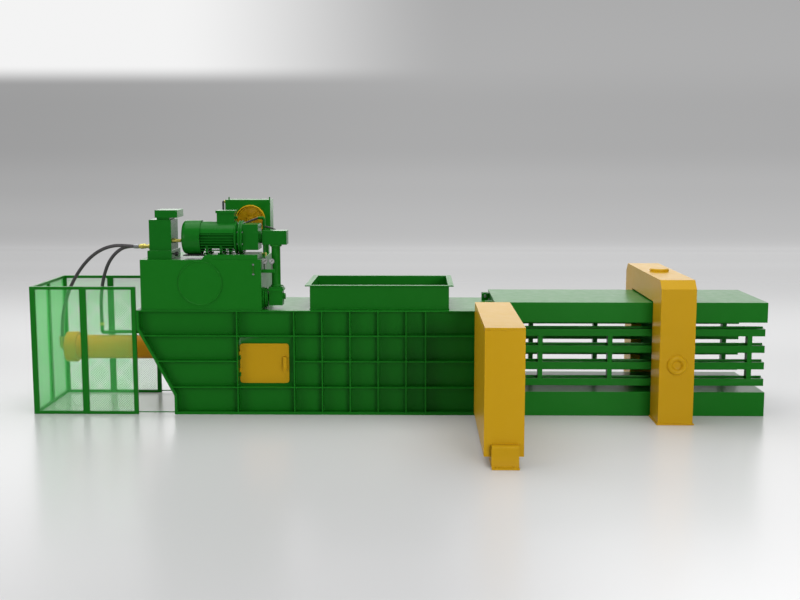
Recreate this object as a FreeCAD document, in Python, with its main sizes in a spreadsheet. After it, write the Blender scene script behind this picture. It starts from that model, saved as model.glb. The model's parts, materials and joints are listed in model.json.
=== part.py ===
"""Horizontal channel baler with automatic wire tying, in millimetres.

Machine directions while building: X runs from the rear of the guard cage
towards the bale outlet, Y from the near face of the press body to the far
face, Z up from the floor. The last step moves every piece so that the origin
lies on the floor under the middle of the whole machine.
"""
import FreeCAD, Part
import math
import os
import re
import Sketcher
from FreeCAD import Rotation, Vector

doc = FreeCAD.newDocument("Baler")
dim = doc.addObject("Spreadsheet::Sheet", "Dim")

# ------------------------------------------------------------ driving sizes
SIZES = (
    # guard cage round the main cylinder
    ("cage_length", 1240, "cage along the machine"),
    ("cage_height", 1517, "cage above the floor"),
    ("cage_post", 60, "square corner posts at the rear"),
    ("cage_mid_post", 74, "post in the middle of each side"),
    ("cage_end_post", 50, "posts next to the body"),
    ("cage_rail", 34, "top and bottom rails"),
    ("cage_bar_depth", 40, "depth of posts and rails"),
    ("mesh_plate", 4, "thickness of a mesh panel"),
    ("mesh_slack", 0, "gap between mesh and posts"),
    ("tie_bar_size", 12, "square bars from cage to body"),
    # press body
    ("body_gap", 5, "cage to body"),
    ("body_length", 4182, "press body"),
    ("machine_width", 1240, "over the ribs"),
    ("body_height", 1240, "body above the floor"),
    ("rib_depth", 110, "ribs stand out from the side plate"),
    ("wall_plate", 40, "side plate with its wear liner"),
    ("rib_plate", 14, "rib thickness"),
    ("edge_plate", 30, "plate round the edge of a side wall"),
    ("slope_top", 1020, "upper end of the sloping rear edge"),
    ("slope_foot", 226, "lower end of the sloping rear edge"),
    ("slope_run", 425, "length of the slope along the machine"),
    ("rib_row_low", 332, "lowest rib row"),
    ("rib_row_mid", 642, "middle rib row"),
    ("rib_row_high", 945, "highest rib row"),
    ("door_cell_start", 1170, "rear of the door cell, from the body's rear"),
    ("door_cell", 669, "door cell along the body"),
    ("rib_pitch", 328, "upright ribs after the door cell"),
    ("last_rib", 802, "last upright rib, from the body's end"),
    ("floor_height", 286, "channel floor above the ground"),
    ("roof_drop", 130, "channel roof below the body's top"),
    ("deck_plate", 30, "floor deck"),
    ("roof_plate", 20, "roof of the body"),
    # access door
    ("door_width", 580, "access door"),
    ("door_height", 473, "access door"),
    ("door_plate", 14, "access door thickness"),
    ("door_round", 36, "corner radius"),
    ("door_lap", 45, "door over the edge of its opening"),
    ("door_from_rib", 25, "door edge from the rib beside it"),
    ("door_sill", 362, "lower edge of the door"),
    ("knuckle_radius", 9, "hinge knuckle"),
    ("knuckle_length", 100, "hinge knuckle"),
    ("pin_slack", 0.08, "radial clearance of plain pins"),
    ("latch_length", 165, "handle bar of the door"),
    # main cylinder and ram
    ("cylinder_axis", 703, "height of the main cylinder"),
    ("barrel_radius", 145, "main cylinder barrel"),
    ("bore_radius", 120, "main cylinder bore"),
    ("cap_radius", 185, "rear cap"),
    ("cap_length", 140, "rear cap"),
    ("cap_start", 235, "rear cap from the cage's rear"),
    ("piston_length", 120, "piston"),
    ("stroke", 1750, "ram travel"),
    ("barrel_spare", 60, "bore left beyond the stroke"),
    ("gland_length", 120, "gland at the front of the barrel"),
    ("rod_radius", 80, "main rod"),
    ("bulkhead_start", 455, "bulkhead from the body's rear"),
    ("bulkhead_plate", 60, "bulkhead that carries the cylinder"),
    ("mount_ring", 50, "cylinder's mounting ring"),
    ("mount_ring_radius", 225, "cylinder's mounting ring"),
    ("ram_rear", 525, "rear of the ram from the body's rear"),
    ("ram_length", 1450, "ram box"),
    ("ram_tail", 325, "cover plate behind the ram box"),
    ("ram_plate", 30, "walls of the ram box"),
    ("platen", 80, "pressing plate of the ram"),
    ("ram_side_slack", 3, "ram to side wall"),
    ("ram_top_slack", 4, "ram to roof"),
    ("shoe_height", 12, "ram wear shoes"),
    ("shoe_width", 70, "ram wear shoes"),
    ("slide_slack", 0.5, "running gap of sliding plates"),
    ("blade_height", 60, "fixed shear blade"),
    ("blade_plate", 30, "fixed shear blade"),
    # feed hopper
    ("hopper_to_end", 522, "hopper to the body's end"),
    ("hopper_from_rear", 2027, "hopper from the body's rear"),
    ("hopper_side", 115, "hopper set in from the body's side"),
    ("hopper_height", 290, "hopper above the body"),
    ("hopper_plate", 12, "hopper plate"),
    ("hopper_flange", 53, "flange outside the box"),
    ("hopper_bolt_radius", 9, "flange bolt holes"),
    # bale channel
    ("channel_length", 3173, "top and bottom plate"),
    ("channel_gap", 8, "running gap at the body's end"),
    ("plate_skin", 20, "plates of the channel boxes"),
    ("top_plate_height", 234, "top plate box"),
    ("slat_height", 83, "slat beam"),
    ("slat_inset", 30, "slats set in from the plates' sides"),
    ("slat_depth", 100, "slat beam"),
    ("liner_plate", 20, "wear bar on each slat"),
    ("liner_height", 118, "wear bar on each slat"),
    ("slat_from_floor", 113, "middle of the lowest slat above the channel floor"),
    ("slat_from_roof", 123, "middle of the highest slat below the channel roof"),
    ("slat_short", 12, "slats end before the plates"),
    ("spacer_width", 54, "upright spacers between slats"),
    ("spacer_start", 548, "first spacer from the body's end"),
    ("spacer_pitch", 813, "spacer to spacer"),
    ("hinge_pin_radius", 20, "pins of the side walls and top plate"),
    ("hinge_inset", 48, "side wall pin from the body's end"),
    ("lug_plate", 40, "hinge lugs"),
    # tension collar
    ("collar_start", 1838, "collar from the body's end"),
    ("collar_length", 395, "collar along the machine"),
    ("collar_depth", 440, "collar outside the plates"),
    ("collar_bridge", 287, "collar above its throat"),
    ("collar_chamfer", 96, "chamfer of the collar"),
    ("collar_skin", 25, "plates of the collar"),
    ("collar_slack", 14, "collar to channel plates"),
    ("collar_foot", 15, "collar foot beyond the legs"),
    ("tension_cap_radius", 115, "cap of a tension cylinder"),
    ("tension_cap_bore", 58, "recess in the cap"),
    ("tension_cap_proud", 34, "cap outside the collar"),
    ("tension_barrel_radius", 95, "tension cylinder"),
    ("tension_rod_radius", 55, "tension rod"),
    ("seal_slack", 0.4, "radial gap of a rod in its gland"),
    ("bore_slack", 0.8, "tension cylinder in the collar's hole"),
    ("nose_length", 3, "nose of a tension rod"),
    ("nose_radius", 12, "nose of a tension rod"),
    ("tension_axis", 690, "height of the side tension cylinders"),
    ("contact_gap", 0.3, "rod end to the plate it presses"),
    # wire-tying unit
    ("tier_before_end", 239, "tying unit from the body's end"),
    ("tier_width", 397, "tying unit along the machine"),
    ("tier_gap", 280, "tying unit to the body"),
    ("tier_length", 1880, "tying unit away from the body"),
    ("tier_bottom", 100, "underside above the floor"),
    ("tier_top", 1384, "top above the floor"),
    ("tier_skin", 10, "plates of the tying unit"),
    ("tier_lid", 28, "lid"),
    ("tier_foot_inset", 72, "foot narrower than the housing"),
    ("tier_foot_height", 229, "foot bracket"),
    ("tier_foot_reach", 70, "foot in front of the housing"),
    ("tier_foot_flange", 60, "foot flange in front of the foot"),
    ("needle_radius", 12, "tying needle, half its height"),
    ("needle_length", 1420, "tying needle"),
    ("needle_travel", 1180, "needle carriage travel"),
    ("needle_from_end", 45, "needles from the housing's front side"),
    ("needle_tip_back", 70, "needle tips before the body's near face"),
    ("needle_taper", 90, "tapered tip of a needle"),
    ("carriage_back", 60, "carriage beam behind the needles"),
    ("carriage_width", 85, "carriage beam along the machine"),
    ("carriage_beam", 60, "carriage beam across the machine"),
    ("carriage_height", 1000, "carriage beam"),
    ("carriage_shoe", 300, "sliding shoe of the carriage"),
    ("carriage_sole", 30, "sliding shoe's thickness"),
    # hydraulic power unit
    ("tank_start", 57, "tank from the body's rear"),
    ("tank_length", 1414, "oil tank"),
    ("tank_side", 20, "tank set in from the body's side"),
    ("tank_far", 170, "tank set in from the body's far side"),
    ("tank_height", 592, "oil tank"),
    ("tank_skin", 8, "tank plates"),
    ("cover_radius", 260, "cleanout cover"),
    ("cover_plate", 14, "cleanout cover"),
    ("motor_axis_side", 250, "motor axis from the body's near face"),
    ("motor_rise", 248, "motor axis above the tank"),
    ("cowl_radius", 200, "fan cowl"),
    ("cowl_from_tank", 474, "fan cowl from the tank's rear"),
    ("cowl_length", 222, "fan cowl"),
    ("frame_length", 396, "finned motor housing"),
    ("frame_radius", 165, "motor housing without fins"),
    ("fin_radius", 190, "motor housing over fins"),
    ("fin_plate", 6, "fin"),
    ("fin_pitch", 27, "fin to fin"),
    ("shaft_radius", 24, "motor shaft"),
    ("flange_radius", 196, "motor flange"),
    ("flange_plate", 51, "motor flange with its bolts"),
    ("end_bell", 45, "motor end bell"),
    ("bell_length", 186, "bell housing"),
    ("bell_square", 300, "bell housing"),
    ("pump_length", 326, "pump block"),
    ("pump_height", 164, "pump block"),
    ("pump_depth", 190, "pump block"),
    ("suction_radius", 52, "suction pipe"),
    ("cooler_width", 558, "cooler"),
    ("cooler_height", 494, "cooler"),
    ("cooler_depth", 290, "cooler"),
    ("cooler_rise", 164, "cooler above the tank"),
    ("cooler_from_tank", 852, "cooler from the tank's rear"),
    ("shroud_radius", 181, "cooler fan shroud"),
    ("hose_radius", 20.5, "main hoses"),
    ("port_radius", 34, "elbow at the rear cap"),
    ("rod_pipe_radius", 21, "rod-end pipe"),
    ("rod_pipe_rise", 186, "rod-end pipe above the cylinder's axis"),
    ("port_block", 70, "port block on the barrel"),
    ("port_block_inset", 105, "port block from the barrel's front"),
    ("rod_pipe_lead", 130, "slant of the rod-end pipe along the machine"),
    ("top_pin_inset", 47, "top plate's pins from the body's end"),
    ("top_pin_rise", 50, "top plate's pins above the body"),
    ("top_ear_across", 220, "top plate's ears from the machine's side"),
    ("press_plate_across", 5, "plate under a side tension rod, from the machine's side"),
    ("throat_slack", 16, "collar's bridge above the top plate"),
    ("cover_rise", 320, "middle of the cleanout cover above the body"),
    ("base_from_tank", 715, "motor base from the tank's rear"),
    ("base_rise", 58, "motor base above the tank"),
    ("base_depth", 420, "motor base across the machine"),
    ("rotor_radius", 105, "motor rotor"),
    ("terminal_from_frame", 195, "terminal box from the motor housing's rear"),
    ("terminal_rise", 317, "terminal box lid above the motor axis"),
    ("suction_from_pump", 192, "suction pipe from the pump's rear"),
    ("suction_across", 215, "suction pipe from the machine's side"),
    ("suction_block_rise", 45, "suction block above the body"),
    ("suction_block_height", 220, "suction block"),
    ("suction_block_width", 160, "suction block"),
    ("suction_lip", 12, "lip round the suction block"),
    ("suction_lip_drop", 50, "foot of the lip below the block's top"),
    ("suction_lip_height", 30, "lip round the suction block"),
    ("suction_boss_rise", 100, "boss above the block's foot"),
    ("suction_boss_radius", 38, "boss on the suction block"),
    ("suction_boss_length", 28, "boss on the suction block"),
    ("valve_rise", 127, "suction valve above the body"),
    ("valve_radius", 125, "suction valve flange"),
    ("gauge_across", 110, "gauges from the machine's side"),
    ("gauge_bar_drop", 138, "gauge bar below the tank's top"),
    ("gauge_bar_length", 150, "gauge bar"),
    ("gauge_drop", 22, "gauges below the tank's top"),
    ("gauge_radius", 33, "pressure gauge"),
    ("manifold_from_tank", 94, "valve manifold from the tank's rear"),
    ("manifold_side", 120, "valve manifold from the machine's side"),
    ("manifold_length", 260, "valve manifold"),
    ("manifold_depth", 380, "valve manifold across the machine"),
    ("manifold_base", 99, "base under the valve manifold"),
    ("manifold_rise", 459, "valve manifold above the tank"),
    ("valve_neck", 24, "neck under the directional valve"),
    ("valve_height", 88, "directional valve"),
    ("valve_length", 265, "directional valve"),
    ("fitting_length", 206, "hose fitting"),
    ("shroud_from_cooler", 312, "cooler fan from the cooler's rear"),
    ("shroud_drop", 247, "cooler fan below the cooler's top"),
    ("return_across", 600, "return pipe from the machine's side"),
    ("return_rise", 454, "return pipe above the tank"),
    ("return_turn", 60, "return pipe's bend back to the hose"),
    ("cooler_port_along", 171, "cooler's port from its rear"),
    ("cooler_port_rise", 274, "cooler's port above the tank"),
    ("drain_rise", 352, "drain's branch above the tank"),
    ("drain_reach", 250, "drain hose along the pump"),
    ("drain_port_rise", 228, "pump's drain port above the tank"),
)

SLATS = 4
SPACERS = 4

DERIVED = (
    ("body_rear", "cage_length + body_gap"),
    ("body_end", "body_rear + body_length"),
    ("overall", "body_end + channel_length"),
    ("middle", "machine_width / 2"),
    ("wall_in", "rib_depth + wall_plate"),
    ("wall_far", "machine_width - wall_in"),
    ("channel_width", "machine_width - 2 * wall_in"),
    ("channel_roof", "body_height - roof_drop"),
    ("chamber_height", "channel_roof - floor_height"),
    ("slope_drop", "slope_top - slope_foot"),
    ("edge_rise", "edge_plate * (sqrt(slope_run ^ 2 + slope_drop ^ 2) - slope_drop) / slope_run"),
    ("door_start", "body_rear + door_cell_start + door_from_rib"),
    ("door_face", "rib_depth - door_plate - 2"),
    ("barrel_start", "cap_start + cap_length"),
    ("barrel_length", "piston_length + stroke + barrel_spare"),
    ("bulkhead_face", "body_rear + bulkhead_start"),
    ("ram_start", "body_rear + ram_rear"),
    ("ram_face", "ram_start + ram_length"),
    ("ram_width", "channel_width - 2 * ram_side_slack"),
    ("ram_side", "wall_in + ram_side_slack"),
    ("ram_bottom", "floor_height + slide_slack + shoe_height"),
    ("ram_top", "channel_roof - ram_top_slack"),
    ("hopper_end", "body_end - hopper_to_end"),
    ("hopper_rear", "body_rear + hopper_from_rear"),
    ("hopper_length", "hopper_end - hopper_rear"),
    ("hopper_width", "machine_width - 2 * hopper_side"),
    ("hopper_top", "body_height + hopper_height"),
    ("channel_start", "body_end + channel_gap"),
    ("top_plate_top", "channel_roof + top_plate_height"),
    ("slat_length", "channel_length - channel_gap - slat_short"),
    ("slat_base", "floor_height + slat_from_floor"),
    ("slat_pitch", f"(channel_roof - slat_from_roof - slat_base) / {SLATS - 1}"),
    ("side_pin_along", "body_end + hinge_inset"),
    ("side_pin_across", "slat_inset + slat_depth / 2"),
    ("collar_rear", "body_end + collar_start"),
    ("collar_centre", "collar_rear + collar_length / 2"),
    ("collar_near", "0 - collar_depth"),
    ("collar_width", "machine_width + 2 * collar_depth"),
    ("tier_start", "body_end - tier_before_end"),
    ("tier_far", "0 - tier_gap"),
    ("tier_near", "0 - tier_gap - tier_length"),
    ("needle_along", "tier_start + tier_width - needle_from_end"),
    ("tank_rear", "body_rear + tank_start"),
    ("tank_end", "tank_rear + tank_length"),
    ("tank_depth", "machine_width - tank_side - tank_far"),
    ("tank_top", "body_height + tank_height"),
    ("motor_axis", "tank_top + motor_rise"),
    ("cowl_start", "tank_rear + cowl_from_tank"),
    ("frame_start", "cowl_start + cowl_length"),
    ("frame_end", "frame_start + frame_length"),
    ("bell_base", "motor_axis - bell_square / 2 + 10"),
    ("flange_start", "frame_end + end_bell"),
    ("bell_start", "flange_start + flange_plate"),
    ("pump_start", "bell_start + bell_length"),
    ("cooler_bottom", "tank_top + cooler_rise"),
    ("cooler_top", "cooler_bottom + cooler_height"),
    ("cooler_side", "machine_width - cooler_depth"),
    ("door_pin_across", "door_face - 4"),
    ("base_top", "tank_top + base_rise"),
    ("base_start", "tank_rear + base_from_tank"),
    ("top_pin_height", "body_height + top_pin_rise"),
    ("collar_throat", "top_plate_top + throat_slack"),
    ("collar_height", "collar_throat + collar_bridge"),
    ("cover_height", "body_height + cover_rise"),
    ("cover_along", "tank_rear + tank_length * 0.494"),
    ("terminal_start", "frame_start + terminal_from_frame"),
    ("terminal_top", "motor_axis + terminal_rise"),
    ("suction_along", "pump_start + suction_from_pump"),
    ("suction_block_base", "body_height + suction_block_rise"),
    ("suction_block_top", "suction_block_base + suction_block_height"),
    ("gauge_bar_height", "tank_top - gauge_bar_drop"),
    ("gauge_height", "tank_top - gauge_drop"),
    ("manifold_start", "tank_rear + manifold_from_tank"),
    ("manifold_top", "tank_top + manifold_rise"),
    ("cooler_start", "tank_rear + cooler_from_tank"),
    ("shroud_along", "cooler_start + shroud_from_cooler"),
    ("shroud_height", "cooler_top - shroud_drop"),
    ("rod_pipe_height", "cylinder_axis + rod_pipe_rise"),
    ("top_pin_along", "body_end - top_pin_inset"),
    ("collar_far", "machine_width + collar_depth"),
    ("origin_along", "overall / 2"),
    ("origin_across", "(collar_far + tension_cap_proud + tier_near - tier_foot_reach - tier_foot_flange) / 2"),
)

ALIASES = {alias for alias, *_ in SIZES} | {alias for alias, _ in DERIVED}


def fill_sheet():
    """Writes the sizes and what follows from them, one row each."""
    for row, (alias, value, note) in enumerate(SIZES, start=1):
        dim.set(f"A{row}", note)
        dim.set(f"B{row}", str(value))
        dim.setAlias(f"B{row}", alias)
    for row, (alias, formula) in enumerate(DERIVED, start=len(SIZES) + 1):
        dim.set(f"B{row}", "=" + formula)
        dim.setAlias(f"B{row}", alias)
    doc.recompute()


def bound(text):
    """Turns plain size names into references to the sheet."""
    return re.sub(r"[a-z_]+", lambda word: f"{dim.Name}.{word[0]}" if word[0] in ALIASES else word[0], text)


def get(alias):
    """The present number of one size or place."""
    return float(dim.get(alias))


# ------------------------------------------------------------ shape helpers
LOOSE_RADIUS = 1000  # sketch corners start on this circle and are then pulled to their places

PLANES = {
    "XY": (Rotation(), Vector(0, 0, 1)),
    "XZ": (Rotation(Vector(1, 0, 0), 90), Vector(0, 1, 0)),
    "YZ": (Rotation(Vector(0, 1, 0), Vector(0, 0, 1), Vector(1, 0, 0)), Vector(1, 0, 0)),
}
DRUM_TURNS = {
    "X": Rotation(Vector(0, 1, 0), 90),
    "-X": Rotation(Vector(0, 1, 0), -90),
    "Y": Rotation(Vector(1, 0, 0), -90),
    "-Y": Rotation(Vector(1, 0, 0), 90),
    "Z": Rotation(),
    "-Z": Rotation(Vector(1, 0, 0), 180),
}
LATHE_TURNS = {
    "X": Rotation(),
    "-X": Rotation(Vector(0, 0, 1), 180),
    "Y": Rotation(Vector(0, 0, 1), 90),
    "-Y": Rotation(Vector(0, 0, 1), -90),
    "Z": Rotation(Vector(0, 1, 0), -90),
    "-Z": Rotation(Vector(0, 1, 0), 90),
}


def bind(thing, path, text):
    """Ties one property to an expression in size names."""
    thing.setExpression(path, bound(text))


def put(thing, at):
    """Ties the place of a thing to three expressions."""
    for axis, text in zip("xyz", at):
        bind(thing, f"Placement.Base.{axis}", text)
    return thing


def box(label, at, lengths):
    made = doc.addObject("Part::Box", label)
    for path, text in zip(("Length", "Width", "Height"), lengths):
        bind(made, path, text)
    return put(made, at)


def drum(label, at, radius, length, along="Z"):
    """A round bar that starts at a point and runs along an axis."""
    made = doc.addObject("Part::Cylinder", label)
    made.Placement.Rotation = DRUM_TURNS[along]
    bind(made, "Radius", radius)
    bind(made, "Height", length)
    return put(made, at)


def hexagon(label, at, radius, length, along="Z", sides=6):
    """A bar with flat sides, such as a bolt head or a nut; the radius is over its corners."""
    made = doc.addObject("Part::Prism", label)
    made.Polygon = sides
    made.Placement.Rotation = DRUM_TURNS[along]
    bind(made, "Circumradius", radius)
    bind(made, "Height", length)
    return put(made, at)


def fuse(label, *pieces):
    made = doc.addObject("Part::MultiFuse", label)
    made.Shapes = list(pieces)
    made.Refine = True
    return made


def group(label, *pieces):
    """Separate solids that share one name."""
    made = doc.addObject("Part::Compound", label)
    made.Links = list(pieces)
    return made


def cut(label, base, *tools):
    made = doc.addObject("Part::Cut", label)
    made.Base = base
    made.Tool = tools[0] if len(tools) == 1 else fuse(label + "_tools", *tools)
    return made


def common(label, first, second):
    made = doc.addObject("Part::Common", label)
    made.Base = first
    made.Tool = second
    return made


def mirrored(label, source):
    """The same piece on the other side of the machine's middle."""
    made = doc.addObject("Part::Mirroring", label)
    made.Source = source
    made.Normal = Vector(0, 1, 0)
    bind(made, "Base.y", "middle")
    return made


def outline(label, points):
    """A closed sketch whose corners are tied to pairs of expressions."""
    sketch = doc.addObject("Sketcher::SketchObject", label)
    count = len(points)
    loose = [Vector(math.cos(step * 2 * math.pi / count), math.sin(step * 2 * math.pi / count), 0) * LOOSE_RADIUS
             for step in range(count)]
    for index in range(count):
        sketch.addGeometry(Part.LineSegment(loose[index], loose[(index + 1) % count]))
    for index in range(count):
        sketch.addConstraint(Sketcher.Constraint("Coincident", index, 2, (index + 1) % count, 1))
    for index, pair in enumerate(points):
        for side, start, text in zip("XY", (loose[index].x, loose[index].y), pair):
            if text == "0":
                axis = -2 if side == "X" else -1
                sketch.addConstraint(Sketcher.Constraint("PointOnObject", index, 1, axis))
                continue
            row = sketch.addConstraint(Sketcher.Constraint("Distance" + side, -1, 1, index, 1, start))
            name = f"corner_{side}{index}"
            sketch.renameConstraint(row, name)
            bind(sketch, "Constraints." + name, text)
    return sketch


def prism(label, plane, points, start, depth):
    """An outline in one plane, pushed out along the plane's normal."""
    turn, normal = PLANES[plane]
    sketch = outline(label + "_outline", points)
    sketch.Placement.Rotation = turn
    bind(sketch, "Placement.Base." + "zyx"[("XY", "XZ", "YZ").index(plane)], start)
    made = doc.addObject("Part::Extrusion", label)
    made.Base = sketch
    made.DirMode = "Custom"
    made.Dir = normal
    made.Solid = True
    bind(made, "LengthFwd", depth)
    return made


def turned(label, at, points, along="X"):
    """A lathe profile of (place along the axis, radius) pairs, spun round its axis."""
    made = doc.addObject("Part::Revolution", label)
    made.Source = outline(label + "_outline", points)
    made.Axis = Vector(1, 0, 0)
    made.Angle = 360
    made.Solid = True
    made.Placement.Rotation = LATHE_TURNS[along]
    return put(made, at)


def tube(label, at, radius, bore, length, along="Z"):
    return cut(label, drum(label + "_outer", at, radius, length, along),
               drum(label + "_bore", at, bore, length, along))


HOSE_SIDES = 10
PIPE_SIDES = 8


def bent_pipe(route, radius, bend):
    """A pipe on straight runs joined by arcs of one bend radius."""
    return sweep(route, radius, [bend] * (len(route) - 2), PIPE_SIDES)


def sweep(route, radius, bends, sides):
    """A tube of flat sides, with a round tube's section area, and the length of its path."""
    points = [Vector(*point) for point in route]
    edges = []
    last = points[0]
    for before, corner, after, bend in zip(points, points[1:], points[2:], bends):
        inward = (before - corner).normalize()
        outward = (after - corner).normalize()
        turn = math.pi - inward.getAngle(outward)
        reach = bend * math.tan(turn / 2)
        start = corner + inward * reach
        end = corner + outward * reach
        bisector = (inward + outward).normalize()
        middle = corner + bisector * (bend / math.cos(turn / 2) - bend)
        edges.append(Part.LineSegment(last, start).toShape())
        edges.append(Part.Arc(start, middle, end).toShape())
        last = end
    edges.append(Part.LineSegment(last, points[-1]).toShape())
    path = Part.Wire(edges)
    ahead = (points[1] - points[0]).normalize()
    side = ahead.cross(Vector(0, 1, 0) if abs(ahead.y) < 0.9 else Vector(1, 0, 0)).normalize()
    up = ahead.cross(side)
    turn = 2 * math.pi / sides
    corner_radius = radius * math.sqrt(turn / math.sin(turn))
    around = [points[0] + (side * math.cos(step * turn) + up * math.sin(step * turn)) * corner_radius
              for step in range(sides)]
    made = path.makePipeShell([Part.makePolygon(around + around[:1])], True, False)
    return made, path.Length


def cord_bends(route):
    """Bend radii of a free hose: 0.45 of the shorter run over the tangent of half the turn."""
    points = [Vector(*point) for point in route]
    bends = []
    for before, corner, after in zip(points, points[1:], points[2:]):
        turn = math.pi - (before - corner).getAngle(after - corner)
        shorter = min((before - corner).Length, (after - corner).Length)
        bends.append(0.45 * shorter / math.tan(turn / 2))
    return bends


def solid(label, shape):
    """A worked-out shape as a piece of the document."""
    made = doc.addObject("Part::Feature", label)
    made.Shape = shape
    return made


# ------------------------------------------------------------ press body
BODY_OUTLINE = (
    ("body_rear", "body_height"),
    ("body_rear", "slope_top"),
    ("body_rear + slope_run", "slope_foot"),
    ("body_rear + slope_run", "0"),
    ("body_end", "0"),
    ("body_end", "body_height"),
)
BODY_INSIDE = (
    ("body_rear + edge_plate", "body_height - rib_plate"),
    ("body_rear + edge_plate", "slope_top + edge_rise"),
    ("body_rear + slope_run + edge_plate", "slope_foot + edge_rise"),
    ("body_rear + slope_run + edge_plate", "edge_plate"),
    ("body_end - edge_plate", "edge_plate"),
    ("body_end - edge_plate", "body_height - rib_plate"),
)
RIB_ROWS = ("rib_row_low", "rib_row_mid", "rib_row_high")
PITCHED_RIBS = 5
HINGE_PLACES = ("door_height * 0.17", "door_height * 0.6")


def upright_ribs():
    """Rear face of each upright rib: both sides of the door cell, the even run, the last one."""
    first = "body_rear + door_cell_start"
    even = [f"{first} + door_cell + {step} * rib_pitch" for step in range(PITCHED_RIBS)]
    return [first, *even, "body_end - last_rib"]


def rib_boxes(side):
    """Rib strips of one wall before they are trimmed to its outline."""
    strips = []
    for row, height in enumerate(RIB_ROWS):
        at = ("body_rear", "0", f"{height} - rib_plate")
        strips.append(box(f"{side}_row_{row}", at, ("body_length", "rib_depth", "rib_plate")))
    for column, along in enumerate(upright_ribs()):
        at = (along, "0", "0")
        strips.append(box(f"{side}_upright_{column}", at, ("rib_plate", "rib_depth", "body_height")))
    return strips


def hinge_lugs(side):
    """Lugs at the wall's end, in the gaps between the slats, bored for the side wall's pin."""
    lugs = []
    for gap in range(3):
        at = ("body_end - edge_plate", "side_pin_across - lug_plate",
              f"slat_base + {gap + 0.5} * slat_pitch - lug_plate / 2")
        lengths = ("hinge_inset + edge_plate + lug_plate", "2 * lug_plate", "lug_plate")
        lugs.append(box(f"{side}_lug_{gap}", at, lengths))
    return lugs


def side_wall(side):
    """Side plate, edge plates, ribs and hinge lugs welded into one wall."""
    block = prism(f"{side}_block", "XZ", BODY_OUTLINE, "0", "wall_in")
    cells = prism(f"{side}_cells", "XZ", BODY_INSIDE, "0", "rib_depth")
    trim = prism(f"{side}_trim", "XZ", BODY_OUTLINE, "0", "rib_depth")
    shell = cut(f"{side}_shell", block, cells)
    ribs = common(f"{side}_ribs", fuse(f"{side}_strips", *rib_boxes(side)), trim)
    welded = fuse(f"{side}_welded", shell, ribs, *hinge_lugs(side))
    pin_hole = drum(f"{side}_pin_hole", ("side_pin_along", "side_pin_across", "floor_height"),
                    "hinge_pin_radius + pin_slack", "chamber_height")
    return welded, pin_hole


def near_wall():
    """The near wall has the access opening, and its middle rib row stops at the door cell."""
    welded, pin_hole = side_wall("near")
    cell = box("door_space", ("body_rear + door_cell_start + rib_plate", "0", "rib_row_low"),
               ("door_cell - rib_plate", "rib_depth", "rib_row_high - rib_plate - rib_row_low"))
    opening = box("door_opening", ("door_start + door_lap", "0", "door_sill + door_lap"),
                  ("door_width - 2 * door_lap", "wall_in", "door_height - 2 * door_lap"))
    return cut("side_wall_near", welded, pin_hole, cell, opening)


def far_wall():
    welded, pin_hole = side_wall("far")
    return mirrored("side_wall_far", cut("far_wall_bored", welded, pin_hole))


def press_floor():
    """Floor deck on cross bearers."""
    start = "bulkhead_face + bulkhead_plate"
    run = "body_end - bulkhead_face - bulkhead_plate"
    deck = box("deck", (start, "wall_in", "floor_height - deck_plate"), (run, "channel_width", "deck_plate"))
    bearers = []
    for step in range(7):
        at = (f"{start} + {step} * ({run} - rib_plate) / 6", "wall_in", "0")
        bearers.append(box(f"bearer_{step}", at, ("rib_plate", "channel_width", "floor_height - deck_plate")))
    return fuse("press_floor", deck, *bearers)


def press_roof():
    """Roof plate with the feed opening, the shear beam and the lugs of the top plate."""
    plate = box("roof_sheet", ("body_rear", "wall_in", "body_height - roof_plate"),
                ("body_length", "channel_width", "roof_plate"))
    beam = box("shear_beam", ("hopper_end + blade_plate", "wall_in", "channel_roof"),
               ("body_end - hopper_end - blade_plate", "channel_width", "body_height - roof_plate - channel_roof"))
    feed = box("feed_opening", ("hopper_rear + hopper_plate", "wall_in", "body_height - roof_plate"),
               ("hopper_length - 2 * hopper_plate", "channel_width", "roof_plate"))
    opened = cut("roof_opened", plate, feed)
    lugs = []
    for side in (0, 1):
        for cheek in (-1, 1):
            middle = f"top_ear_across + {side} * (machine_width - 2 * top_ear_across)"
            at = (f"top_pin_along - 2 * hinge_pin_radius",
                  f"{middle} + {cheek} * (lug_plate / 2 + lug_plate / 4 + 2) - lug_plate / 4",
                  "body_height")
            lengths = ("4 * hinge_pin_radius", "lug_plate / 2", "top_pin_height - body_height + 2 * hinge_pin_radius")
            lugs.append(box(f"top_lug_{side}_{cheek + 1}", at, lengths))
    holes = [drum(f"top_lug_hole_{side}", ("top_pin_along", start, "top_pin_height"),
                  "hinge_pin_radius + pin_slack", "200", "Y")
             for side, start in ((0, "top_ear_across - 100"), (1, "machine_width - top_ear_across - 100"))]
    return cut("press_roof", fuse("roof_welded", opened, beam, *lugs), *holes)


def hinge_pins():
    """Upright pins of the side walls and cross pins of the top plate."""
    pins = []
    for side, across in (("near", "side_pin_across"), ("far", "machine_width - side_pin_across")):
        pins.append(drum(f"wall_pin_{side}", ("side_pin_along", across, "floor_height"),
                         "hinge_pin_radius", "chamber_height - 6"))
    for side, across in (("near", "top_ear_across"), ("far", "machine_width - top_ear_across")):
        pins.append(drum(f"plate_pin_{side}", ("top_pin_along", f"{across} - lug_plate - 6", "top_pin_height"),
                         "hinge_pin_radius", "2 * lug_plate + 12", "Y"))
    return group("hinge_pins", *pins)


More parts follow.
